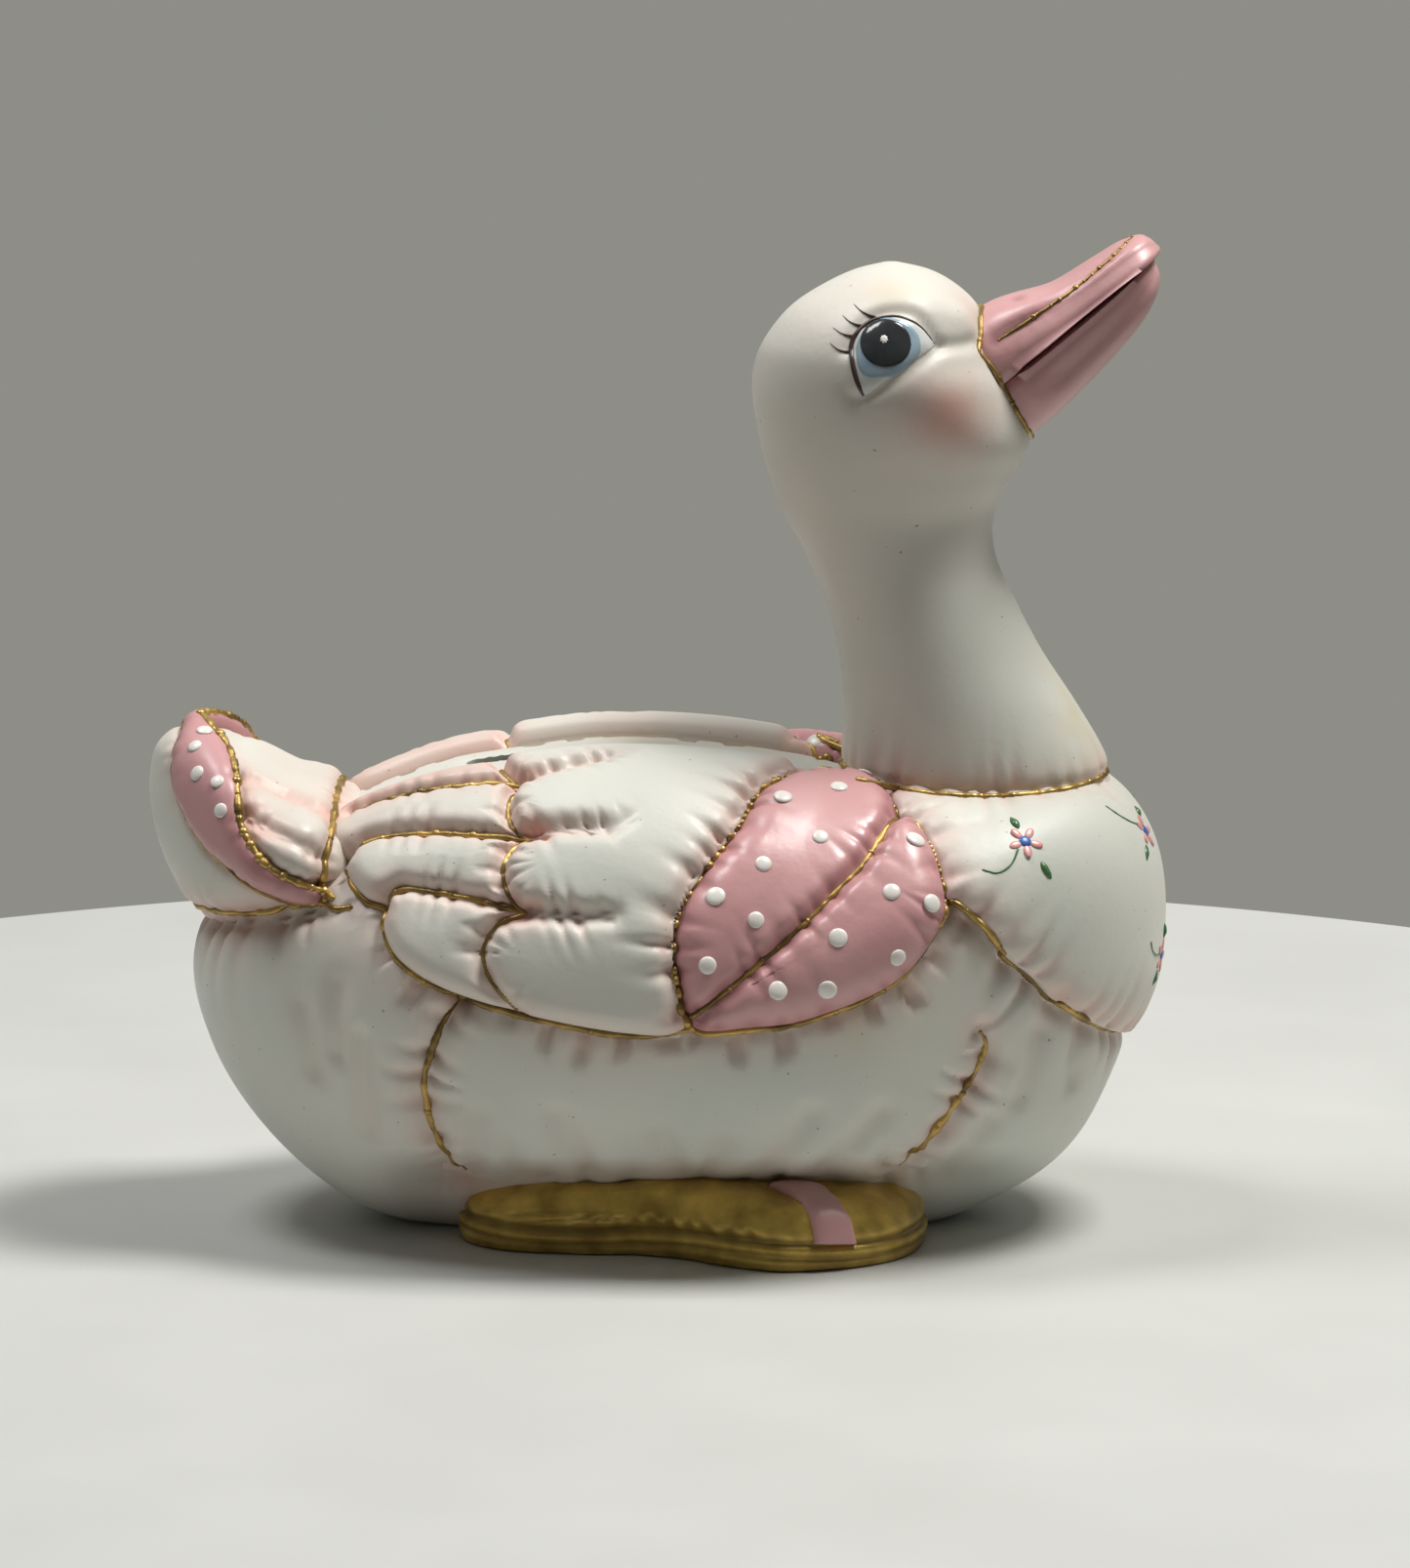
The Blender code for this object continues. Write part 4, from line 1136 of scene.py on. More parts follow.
# %% Two halves of a bill
BILL_ROOT = (61.4, 149.0)
BILL_TILT = 0.679
UPPER_BILL = [
    (-12, 12, 10), (-4, 11.9, 11), (3.3, 11.5, 11.4), (8.2, 10, 11.4), (14.5, 7.3, 10.8), (22.5, 6.2, 10.2),
    (28.2, 5.5, 8.4), (31.2, 4.4, 5.6), (32.3, 2.9, 2.6), (32.6, 1.5, 0.9),
]
LOWER_BILL = [
    (-12, 11, 8.8), (-4, 10.9, 9.8), (2.6, 10.7, 10.4), (11, 9.8, 10.2), (21, 8, 9.4), (26.6, 5.9, 7.8),
    (29.4, 3.8, 5), (30.3, 2, 2.4), (30.6, 1, 0.8),
]
MOUTH_GAP = 0.15
LIP_TURN = 0.42
LIP_SHARE = 0.09
BILL_SIDES = 48


def bill_place(along, out, rise):
    """A place in the bill's frame, in the duck's own."""
    x = BILL_ROOT[0] + along * cos(BILL_TILT) - rise * sin(BILL_TILT)
    return np.stack((x, out, BILL_ROOT[1] + along * sin(BILL_TILT) + rise * cos(BILL_TILT)), -1)


def bill_piece(name, sections, up):
    """Half a bill; up is 1 above the mouth line and -1 below it."""
    turn = 2 * pi * np.arange(BILL_SIDES) / BILL_SIDES
    rings = []
    for along, depth, half_width in smooth_path(sections, steps=8):
        out = half_width * np.sign(np.cos(turn)) * np.abs(np.cos(turn)) ** 0.8
        arch = np.maximum(np.sin(turn), 0) ** 0.8
        rise = MOUTH_GAP + (depth - MOUTH_GAP) * arch
        lip = half_width * LIP_SHARE * groove(turn - LIP_TURN, 0.2)
        lip = lip + half_width * LIP_SHARE * groove(turn - (pi - LIP_TURN), 0.2)
        out = out - np.sign(out) * lip * min(max(along / 6, 0), 1)
        rings.append(bill_place(along, out, up * rise))
    root = np.mean(rings[0], axis=0)
    tip = np.mean(rings[-1], axis=0) + 0.15 * np.array((cos(BILL_TILT), 0, sin(BILL_TILT)))
    points, faces = stacked(rings, [root, tip])
    if up < 0:
        faces = [face[::-1] for face in faces]
    measured = bmesh.new()
    for point in points:
        measured.verts.new(point)
    measured.verts.ensure_lookup_table()
    for face in faces:
        measured.faces.new([measured.verts[i] for i in face])
    if measured.calc_volume(signed=True) < 0:
        faces = [face[::-1] for face in faces]
    measured.free()
    normals = point_normals(points, faces)
    folded = near_side(points)
    mouth, _ = beside(folded, [Seam(bill_place(np.linspace(3, 26, 30), np.full(30, -10.6), np.zeros(30)))])
    stitched, stitch_arc = beside(folded, [bill_stitch])
    dents = puckers(stitched, stitch_arc, 2.6, 1.6)
    nostril = np.linalg.norm(folded - (61.9, -4.4, 161.9), axis=1)
    height = -0.55 * groove(stitched, 0.9) - 0.3 * dents
    height = height - 0.9 * groove(nostril, 1.0) - 0.5 * groove(mouth, 1.6)
    # Darker rose in the mouth line, the stitched groove, its dents and the nostril: painted shade.
    blush = 0.3 * groove(mouth, 2.2) + 0.6 * groove(stitched, 1.0) + 0.8 * groove(nostril, 1.2) + 0.3 * dents
    return make_piece(name, points + normals * height[:, None], faces, rose, blush=blush)


BILL_STITCH = [
    (58.4, -10.2, 155.4), (60.7, -10.1, 156.9), (65.9, -9.4, 160.2), (72.2, -8.0, 164.5), (77, -6.2, 168.4),
    (79.4, -4.6, 171.2), (80.6, -2.2, 172.6), (81, 0, 173),
]
bill_stitch = Seam(smooth_path(BILL_STITCH))
upper_bill = bill_piece("upper_bill_cast", UPPER_BILL, 1)
lower_bill = bill_piece("lower_bill_cast", LOWER_BILL, -1)
settle(upper_bill, "rose", "upper_bill")
settle(lower_bill, "rose", "lower_bill")
print("bill:", len(upper_bill.data.polygons) + len(lower_bill.data.polygons), "faces")

# %% [markdown]
# ## The tail
# The tail is a second shaped ball, wide at the body and narrow at its tip. A rose band wraps over
# it between two gilded lines. In front of the band two soft folds run forwards to a gilded join.

# %% The tail and its band
TAIL_OUTLINE = [
    (-50, 62), (-62, 54), (-79.7, 54), (-84.5, 61), (-87.4, 70), (-87.9, 78), (-86.3, 84),
    (-79.6, 87.4), (-71.8, 83.8), (-62.5, 79.2), (-52, 74),
]
TAIL_FULLNESS = 0.94
TAIL_REAR = [
    (-82.2, 0, 87.3), (-82.6, -6, 87), (-83.7, -10.7, 82.8), (-82.8, -14.4, 77), (-78, -20.5, 69.8),
    (-73.2, -25.1, 66.5), (-68.4, -27.7, 63.4), (-59.8, -28.6, 60.4), (-56, -30, 60),
]
TAIL_FRONT = [
    (-77.6, 0, 86.6), (-75.8, -5.5, 86), (-72.8, -12.1, 84), (-71.2, -20.5, 80.3), (-70.3, -26.4, 73.9),
    (-65.5, -30.7, 67.6), (-57, -30.4, 63.2), (-52, -31.5, 61.5),
]
TAIL_FOLDS = [
    [(-71.5, -16, 82), (-65, -17.5, 79.5), (-57, -19, 75.5)],
    [(-70, -25, 76), (-63.5, -26, 72.5), (-57, -27, 69.5)],
]
TAIL_JOIN = [
    (-56.4, 0, 75), (-56.4, -9, 74.5), (-56.6, -17, 72.5), (-56.8, -23.5, 69.5), (-56, -28.5, 65.5),
    (-55, -31, 61),
]
TAIL_HEART = np.array((-66.0, 0.0, 68.0))


def tail_half_width(x):
    """Half the tail's width: wide at the body and narrow at the tip."""
    return 14 + 27 * np.clip((x + 88) / 38, -0.2, 1.1)


tail_skin = Ball((-68, 70), TAIL_OUTLINE, tail_half_width, lambda angle: np.full_like(angle, TAIL_FULLNESS))


def tail_surface(points):
    """Move points straight out from the tail's heart onto its skin."""
    ways = np.asarray(points, float) - TAIL_HEART
    ways /= np.linalg.norm(ways, axis=1, keepdims=True)
    found = tail_skin.met(np.tile(TAIL_HEART, (len(ways), 1)), ways)
    return found, tail_skin.facing(found)


rear_line = evenly(tail_surface(smooth_path(TAIL_REAR))[0], 0.6)
front_line = evenly(tail_surface(smooth_path(TAIL_FRONT))[0], 0.6)
tail_lines = [Seam(rear_line), Seam(front_line)]


def tail_relief(points):
    """Height and pink of the tail, and of the band on it; the pink in the grooves, the dents and under the
    tail is painted shade as well.
    """
    folded = near_side(points)
    lines, arc = beside(folded, tail_lines)
    seam, seam_arc = beside(folded, [tail_seam])
    dents = puckers(lines, arc, 3.6, 3.2)
    seam_dents = puckers(seam, seam_arc, 5.2, 5.0)
    fold, fold_arc = beside(folded, tail_folds)
    join, join_arc = beside(folded, [tail_join])
    fold_dents = puckers(fold, fold_arc, 4.2, 3.0) + puckers(join, join_arc, 4.4, 3.6)
    height = -0.9 * groove(lines, 1.4) - 0.5 * dents - 0.8 * groove(seam, 1.6) - 0.5 * seam_dents
    height -= 1.3 * groove(fold, 1.7) + 0.9 * groove(join, 1.4) + 0.7 * fold_dents
    height += 0.15 * handmade(points * 1.3)
    front = soft_step((folded[:, 0] + 74) / 8)
    # Pink airbrush along the lines, the seam, the folds, the join and the dents, also painted shade there;
    # more towards the front, and under the tail as painted shade.
    blush = 0.5 * groove(lines, 3.2) + 0.55 * groove(seam, 4.5) + 0.4 * dents
    blush = blush + 0.45 * groove(fold, 3) + 0.2 * front
    blush += 0.4 * groove(join, 2.5) + 0.35 * fold_dents
    blush += 0.35 * soft_step((66 - folded[:, 2]) / 8)
    return height, blush


tail_folds = [Seam(tail_surface(smooth_path(line))[0]) for line in TAIL_FOLDS]
tail_join = Seam(tail_surface(smooth_path(TAIL_JOIN))[0])
tail_unit, tail_faces = ball_mesh(6)
tail_points = tail_skin.shaped(tail_unit)
tail_height, tail_blush_and_shade = tail_relief(tail_points)
tail_points += tail_skin.facing(tail_points) * tail_height[:, None]
tail = make_piece("tail_cast", tail_points, tail_faces, bisque, blush=tail_blush_and_shade)
settle(tail, "bisque", "tail_shell")

# %% The band over the tail
BAND_RISE = 1.7
BAND_ALONG = 90
BAND_ACROSS = 26


def run_of(line, count):
    """A line's points at even shares of its length."""
    shares = np.linspace(0, len(line) - 1, count)
    return np.stack([np.interp(shares, np.arange(len(line)), column) for column in line.T], 1)


def sheet_faces(rows, across):
    """Faces of a grid and of its underside, joined round the border."""
    total = rows * across
    faces = []
    for i in range(rows - 1):
        for k in range(across - 1):
            a = i * across + k
            quad = (a, a + 1, a + across + 1, a + across)
            faces += [quad, tuple(total + n for n in quad)[::-1]]
    rim = [i * across for i in range(rows)] + [(rows - 1) * across + k for k in range(1, across)]
    rim += [i * across + across - 1 for i in range(rows - 2, -1, -1)] + list(range(across - 2, 0, -1))
    return faces + [(a, b, total + b, total + a) for a, b in zip(rim, rim[1:] + rim[:1])]


rear_run, front_run = run_of(rear_line, BAND_ALONG), run_of(front_line, BAND_ALONG)
rear_run = np.vstack((rear_run[::-1], rear_run[1:] * (1, -1, 1)))
front_run = np.vstack((front_run[::-1], front_run[1:] * (1, -1, 1)))
shares = np.linspace(0, 1, BAND_ACROSS)
grid = rear_run[:, None, :] * (1 - shares)[None, :, None] + front_run[:, None, :] * shares[None, :, None]
grid, band_facing = tail_surface(grid.reshape(-1, 3))
band_edge, band_arc = beside(near_side(grid), tail_lines)
band_dents = puckers(band_edge, band_arc, 4.2, 2.6)
band_height = 0.1 + BAND_RISE * rounded(band_edge, 3.2) - 0.35 * band_dents
band_top = grid + band_facing * band_height[:, None]
band_low = grid - band_facing * 0.8
band_points = np.vstack((band_top, band_low))
band_faces = turned_out(band_points, sheet_faces(len(rear_run), BAND_ACROSS), BAND_ACROSS, band_facing[0])
# Darker rose along the band's edges and in its dents: painted shade.
band_crease_shade = np.tile(0.4 * groove(band_edge, 1.8) + 0.45 * band_dents, 2)
tail_band = make_piece("tail_band_quilt", band_points, band_faces, rose, blush=band_crease_shade)
settle(tail_band, "rose", "tail_band")
print("tail and band:", len(tail.data.polygons) + len(tail_band.data.polygons), "faces")

# %% [markdown]
# ## The slippers
# A slipper is a low dome over its outline on the floor. A line a few millimetres up parts the sole
# from the upper, and small stitched ridges cross the upper just above it.

# %% One slipper, then its twin
SLIPPER_CENTRE = (10, 24)
SLIPPER_HEIGHT = 11.6
SLIPPER_POWER = 0.46
SLIPPER_OUTLINE = [
    (46.5, 15), (46, 24), (42.8, 32.5), (36.5, 38.2), (29, 41.4), (21, 42.4), (14, 39.6), (6, 34.4), (-3, 31),
    (-14, 30.4), (-24.5, 28.6), (-32, 23), (-33.5, 15), (-30, 9), (0, 8), (30, 8), (43, 9),
]
SOLE = 4.4
slipper_skin = Ball(
    SLIPPER_CENTRE, SLIPPER_OUTLINE,
    lambda x: np.full_like(x, SLIPPER_HEIGHT), lambda angle: np.full_like(angle, SLIPPER_POWER),
)


def slipper_relief(points):
    """Height of a slipper, with dark patina in its grooves and painted shade along its foot; points are (x,
    height, out from the middle).
    """
    x, level, out = points.T
    sole_line = level - SOLE - 0.5 * np.sin(x / 9)
    ridge = 0.5 + 0.5 * np.cos(2 * pi * (x + 0.4 * level) / 3.5 + 1.2 * np.sin(x / 7))
    ridges = ridge ** 3 * groove(level - SOLE - 1.9, 1.3) * soft_step((24 - x) / 6)
    lobe = soft_step((x + 6) / 5) * soft_step((22 - x) / 5) * soft_step((level - SOLE) / 3)
    hem = groove(level - SLIPPER_HEIGHT + 1.2, 0.8) * (0.6 + 0.4 * np.sin(x / 2.3) * np.sin(x / 5.1))
    height = 0.35 * soft_step(-sole_line / 0.8) - 0.6 * groove(sole_line, 0.6)
    height = height - 0.45 * groove(sole_line + 2.4, 0.45)
    height += 0.7 * ridges + 0.8 * lobe + 0.45 * hem + 0.25 * handmade(points * 3)
    height *= soft_step(level / 1.5)
    # Dark patina in the sole's grooves and between the stitched ridges, and painted shade along the foot
    # where the slipper meets the table.
    patina = 0.8 * groove(sole_line, 0.8) + 0.5 * groove(sole_line + 2.4, 0.6) + 0.45 * groove(level, 1.2)
    patina += 0.5 * groove(level - SOLE - 1.9, 1.3) * (1 - ridge)
    return height, patina


def evened(unit, power):
    """Spread a ball's points so that a boxy skin keeps them evenly apart."""
    along, across, up = unit.T
    flat = np.hypot(along, up)
    size = (flat ** (2 / power) + np.abs(across) ** (2 / power)) ** (power / 2)
    wide = (flat / size) ** (1 / power) / np.maximum(flat, 1e-9)
    return np.stack((along * wide, np.sign(across) * (np.abs(across) / size) ** (1 / power), up * wide), 1)


def stood_up(flat):
    """Turn (x, height, out) points into the duck's own, on the near side."""
    return np.stack((flat[:, 0], -flat[:, 2], flat[:, 1]), 1)


slipper_unit, slipper_faces = ball_mesh(6)
slipper_unit = evened(slipper_unit, SLIPPER_POWER)
flat_points = slipper_skin.shaped(slipper_unit)
slipper_height, slipper_patina_and_floor_shade = slipper_relief(flat_points)
flat_points += slipper_skin.facing(flat_points) * slipper_height[:, None]
flat_points[:, 1] = np.maximum(flat_points[:, 1], 0)
right_slipper = make_piece(
    "right_slipper_cast", stood_up(flat_points), slipper_faces, gold_slipper, blush=slipper_patina_and_floor_shade
)
left_slipper = mirror_piece("left_slipper_cast", "right_slipper_cast")
settle(right_slipper, "gold", "right_slipper")
settle(left_slipper, "gold", "left_slipper")
print("slipper:", len(right_slipper.data.polygons), "faces")

# %% [markdown]
# The strap is a short rose ribbon over the toe. It is a small grid laid on the slipper's skin, with
# rounded edges and a few creases across it.

# %% The straps
STRAP_TOP = [(19.5, 30.5), (28.5, 29)]
STRAP_FOOT = [(26.8, 42.5), (35.4, 39.5)]
STRAP_RISE = 1.0
STRAP_ROWS, STRAP_ACROSS = 40, 22
STRAP_CREASES = 22


def slipper_surface(flat):
    """Points on the slipper, straight out from its heart, for (x, height, out) guesses."""
    heart = np.array((SLIPPER_CENTRE[0] + 12, 0.0, SLIPPER_CENTRE[1]))
    ways = flat - heart
    ways /= np.linalg.norm(ways, axis=1, keepdims=True)
    found = slipper_skin.met(np.tile(heart, (len(ways), 1)), ways)
    return found, slipper_skin.facing(found)


down = np.linspace(0, 1, STRAP_ROWS)[:, None]
over = np.linspace(0, 1, STRAP_ACROSS)[None, :]
level = 10.8 - 6.2 * down ** 1.6
bow = 1.2 * np.sin(pi * down)
strap_x = (1 - over) * (STRAP_TOP[0][0] + (STRAP_FOOT[0][0] - STRAP_TOP[0][0]) * down + bow)
strap_x = strap_x + over * (STRAP_TOP[1][0] + (STRAP_FOOT[1][0] - STRAP_TOP[1][0]) * down - bow)
strap_out = 30 + 11 * down + 0 * over
strap_flat = np.stack((strap_x, level + 0 * over, strap_out), -1).reshape(-1, 3)
strap_base, strap_facing = slipper_surface(strap_flat)
across_share = np.tile(np.minimum(over, 1 - over), (STRAP_ROWS, 1)).ravel()
strap_height = 0.5 + STRAP_RISE * rounded(across_share, 0.22)
strap_creases = 0.25 * (0.5 + 0.5 * np.cos(np.repeat(down.ravel(), STRAP_ACROSS) * STRAP_CREASES))
strap_height -= strap_creases * groove(across_share - 0.1, 0.2)

strap_all = np.vstack((strap_base + strap_facing * strap_height[:, None], strap_base - strap_facing * 0.6))
strap_points = stood_up(strap_all)
strap_way = (strap_facing[0] * (1, -1, 1))[[0, 2, 1]]
strap_faces = turned_out(strap_points, sheet_faces(STRAP_ROWS, STRAP_ACROSS), STRAP_ACROSS, strap_way)
right_strap = make_piece("right_strap_ribbon", strap_points, strap_faces, rose)
left_strap = mirror_piece("left_strap_ribbon", "right_strap_ribbon")
settle(right_strap, "rose", "right_slipper_strap")
settle(left_strap, "rose", "left_slipper_strap")
print("strap:", len(right_strap.data.polygons), "faces")

# %% [markdown]
# ## Finding the finished surface
# Gilding, dots and eyes are laid on top of what is already modelled. A ray fired at the figure from
# outside finds the real surface, puckers and all, so a line can be drawn roughly and still lie down.

# %% Lay points on the duck
LAID_ON = [
    "body", "right_wing_quilt", "right_upper_patch_quilt", "right_lower_patch_quilt", "bib_quilt",
    "neck_and_head_cast", "tail_cast", "tail_band_quilt", "upper_bill_cast", "lower_bill_cast",
]


def surface_tree(names):
    """A searchable tree of several pieces' faces."""
    points, faces, count = [], [], 0
    for name in names:
        piece_points, piece_faces = piece_data[name][:2]
        points.append(piece_points)
        faces += [[int(i) + count for i in face] for face in piece_faces]
        count += len(piece_points)
    return BVHTree.FromPolygons(np.vstack(points).tolist(), faces)


duck_tree = surface_tree(LAID_ON)


def laid(points, outward, lift=0.0, far=9.0):
    """Drop points onto the duck against their outward directions; give places and normals."""
    places, normals = [], []
    for point, way in zip(points, outward):
        way = Vector(way).normalized()
        hit, normal, _, _ = duck_tree.ray_cast(Vector(point) + way * far, -way)
        if hit is None:
            hit, normal = Vector(point), way
        if normal.dot(way) < 0:
            normal = -normal
        places.append(hit + normal * lift)
        normals.append(normal)
    return np.array(places), np.array(normals)


# %% [markdown]
# ## A small workshop for node trees
# Gold lines, stitches, dots, petals and lashes all repeat, so geometry nodes make them. Each tree is
# built here in code with named inputs, ends in Realize Instances and Set Material, and is turned
# into a plain mesh, so nothing live is left on the finished piece.

# %% Tree helpers
class Tree:
    """A geometry node tree with named inputs, built one node at a time."""

    def __init__(self, name, **inputs):
        self.group = bpy.data.node_groups.new(name, "GeometryNodeTree")
        face = self.group.interface
        face.new_socket("Geometry", in_out="INPUT", socket_type="NodeSocketGeometry")
        face.new_socket("Geometry", in_out="OUTPUT", socket_type="NodeSocketGeometry")
        self.keys, self.usual = {}, inputs
        for label, value in inputs.items():
            kind = {float: "Float", int: "Int"}.get(type(value), "Material")
            socket = face.new_socket(label, in_out="INPUT", socket_type="NodeSocket" + kind)
            self.keys[label] = socket.identifier
        self.given = self.group.nodes.new("NodeGroupInput").outputs

    def add(self, kind, sockets=None, **settings):
        """Add a node; sockets are values or other nodes' outputs, by input name or number."""
        node = self.group.nodes.new(kind)
        for label, value in settings.items():
            setattr(node, label, value)
        for label, value in (sockets or {}).items():
            socket = node.inputs[label]
            if isinstance(value, bpy.types.NodeSocket):
                self.group.links.new(value, socket)
            else:
                socket.default_value = value
        return node

    def math(self, operation, first, second):
        """A math node's result."""
        return self.add("ShaderNodeMath", {0: first, 1: second}, operation=operation).outputs[0]

    def attribute(self, name, kind):
        """A named attribute's value."""
        return self.add("GeometryNodeInputNamedAttribute", {"Name": name}, data_type=kind).outputs[0]

    def close(self, result):
        """End the tree in plain smooth geometry with its finish."""
        real = self.add("GeometryNodeRealizeInstances", {"Geometry": result}).outputs[0]
        smooth = self.add("GeometryNodeSetShadeSmooth", {"Geometry": real}).outputs[0]
        finished = self.add("GeometryNodeSetMaterial", {"Geometry": smooth, "Material": self.given["Finish"]})
        self.add("NodeGroupOutput", {"Geometry": finished.outputs[0]})

    def grow(self, thing, name, **values):
        """Run the tree on an object and keep the result as a plain mesh object."""
        step = thing.modifiers.new(name, "NODES")
        step.node_group = self.group
        for label, value in {**self.usual, **values}.items():
            step[self.keys[label]] = value
        grown = bpy.data.meshes.new_from_object(thing.evaluated_get(bpy.context.evaluated_depsgraph_get()))
        thing.modifiers.clear()
        bpy.data.objects.remove(thing, do_unlink=True)
        result = bpy.data.objects.new(name, grown)
        bpy.context.scene.collection.objects.link(result)
        return result


def points_object(name, points, edges=(), **attributes):
    """A carrier mesh of points and edges in metres, with attributes for a tree to read."""
    mesh = bpy.data.meshes.new(name)
    mesh.from_pydata((points * MM + PLACE).tolist(), list(edges), [])
    for label, values in attributes.items():
        values = np.asarray(values, np.float32)
        if values.ndim == 2:
            mesh.attributes.new(label, "FLOAT_VECTOR", "POINT").data.foreach_set("vector", values.ravel())
        else:
            mesh.attributes.new(label, "FLOAT", "POINT").data.foreach_set("value", values)
    thing = bpy.data.objects.new(name, mesh)
    bpy.context.scene.collection.objects.link(thing)
    return thing


# %% [markdown]
# ## The brushed line
# One tree draws every line. It follows a path, swells and thins with noise as a loaded brush does,
# wanders a little, and drops beads of lustre along the way. A share attribute on the path's points
# thins a stroke towards its tip.

# %% The line tree
line_tree = Tree(
    "brushed_line", Width=0.0005, Unevenness=0.4, Wobble=0.0002, Grain=500.0, Bead=1.3, BeadGap=0.0022,
    Seed=SEED, Finish=gold_line,
)
given = line_tree.given
path = line_tree.add("GeometryNodeMeshToCurve", {"Mesh": given["Geometry"]}).outputs[0]
path = line_tree.add("GeometryNodeResampleCurve", {"Curve": path, "Length": 0.0004}, mode="LENGTH").outputs[0]
grain = line_tree.add("ShaderNodeTexNoise", {"Scale": given["Grain"], "Detail": 2.0})
spread = line_tree.math("MULTIPLY", line_tree.math("SUBTRACT", grain.outputs["Fac"], 0.5), 3.0)
swell = line_tree.math("ADD", line_tree.math("MULTIPLY", spread, given["Unevenness"]), 1.0)
share = line_tree.attribute("share", "FLOAT")
radius = line_tree.math("MULTIPLY", line_tree.math("MULTIPLY", swell, share), given["Width"])
centred = line_tree.add(
    "ShaderNodeVectorMath", {0: grain.outputs["Color"], 1: (0.5, 0.5, 0.5)}, operation="SUBTRACT"
)
drift = line_tree.add(
    "ShaderNodeVectorMath", {0: centred.outputs[0], "Scale": given["Wobble"]}, operation="SCALE"
)
path = line_tree.add("GeometryNodeSetPosition", {"Geometry": path, "Offset": drift.outputs[0]}).outputs[0]
section = line_tree.add("GeometryNodeCurvePrimitiveCircle", {"Resolution": 8, "Radius": 1.0}).outputs[0]
tube = line_tree.add(
    "GeometryNodeCurveToMesh", {"Curve": path, "Profile Curve": section, "Scale": radius, "Fill Caps": True}
).outputs[0]
spots = line_tree.add("GeometryNodeResampleCurve", {"Curve": path, "Length": given["BeadGap"]}, mode="LENGTH")
size = line_tree.add("FunctionNodeRandomValue", {"Seed": given["Seed"]}, data_type="FLOAT")
size.inputs[2].default_value, size.inputs[3].default_value = 0.5, 1.0
full_bead = line_tree.math("MULTIPLY", given["Bead"], given["Width"])
bead_size = line_tree.math("MULTIPLY", size.outputs[1], full_bead)
bead_size = line_tree.math("MULTIPLY", bead_size, share)
bead = line_tree.add("GeometryNodeMeshIcoSphere", {"Radius": 1.0, "Subdivisions": 2}).outputs[0]
beads = line_tree.add(
    "GeometryNodeInstanceOnPoints", {"Points": spots.outputs[0], "Instance": bead, "Scale": bead_size}
).outputs[0]
both = line_tree.add("GeometryNodeJoinGeometry", {"Geometry": tube})
line_tree.group.links.new(beads, both.inputs[0])
line_tree.close(both.outputs[0])


def strokes(name, paths, slot, **values):
    """Draw several laid paths, and their twins on the far side, as one piece; a path is (points, share)."""
    points, shares_along, edges = [], [], []
    for line, share_along in paths:
        for side in (1, -1):
            start = sum(len(part) for part in points)
            points.append(line * (1, side, 1))
            shares_along.append(np.broadcast_to(share_along, len(line)))
            edges += [(start + i, start + i + 1) for i in range(len(line) - 1)]
    carrier = points_object(name + "_path", np.vstack(points), edges, share=np.concatenate(shares_along))
    drawn = line_tree.grow(carrier, name, **values)
    settle(drawn, slot)
    print(name, len(drawn.data.polygons), "faces")
    return drawn


# %% [markdown]
# ## Gilding the seams
# Every seam is drawn again in gold over its groove. Lines round the wings and the chest are wide and
# calm. The feather seams were stitched first, so gold gathers there in beads.

# %% Gold lines on the body and the wings
SUNK = -0.12


def side_line(chart, closed=False, lift=SUNK):
    """A line on the near side from (x, girth) places, laid on the finished surface."""
    points, facing = side_surface(evenly(smooth_path(chart, closed), 0.5))
    return laid(points, facing, lift)[0]


def body_line(points, lift=SUNK):
    """A line from places near the body's skin, laid on the finished surface."""
    points = evenly(smooth_path(points), 0.5)
    return laid(points, body_skin.facing(points), lift)[0]


def ends_thin(count, thin=0.35, run=8):
    """A stroke that starts and ends thin."""
    place = np.minimum(np.arange(count), np.arange(count)[::-1])
    return thin + (1 - thin) * soft_step(place / run)


WING_GILDING = [(x, girth - 0.9) for x, girth in WING_EDGE[4:14]] + [(6.6, -2.4)]
PATCH_GILDING = [(x, girth - 0.8 if girth < 10 else girth) for x, girth in PATCH_EDGE]
wing_gilding = [side_line(WING_GILDING, lift=0.1), side_line(PATCH_GILDING, closed=True, lift=0.1)]
chest_gilding = [body_line(BIB_SEAM)]
neck_half = np.array([neck_ring_point(-pi * i / 90) for i in range(91)])
neck_out = neck_half * (1, 1, 0) - (NECK_RING_MIDDLE, 0, 0) + (0, 0, 6)
chest_gilding.append(laid(neck_half, neck_out, -0.1)[0])
side_gilding = [side_line(REAR_SEAM), side_line(FRONT_SEAM)]
edge_paths = [(line, 1.0) for line in wing_gilding + chest_gilding]
strokes("gold_edges", edge_paths, "gold", Width=0.62 * MM, Bead=1.25)
strokes("gold_side_seams", [(line, ends_thin(len(line), 0.5, 14)) for line in side_gilding], "gold",
        Width=0.62 * MM, Unevenness=0.6, Wobble=0.5 * MM, Bead=1.35, BeadGap=5.2 * MM)
feather_gilding = [side_line(line, lift=rise) for line, rise in zip(LONG_FEATHERS, (0.75, 0.1, SUNK))]
tip_gilding = [side_line(line) for line in COVERT_TIPS]
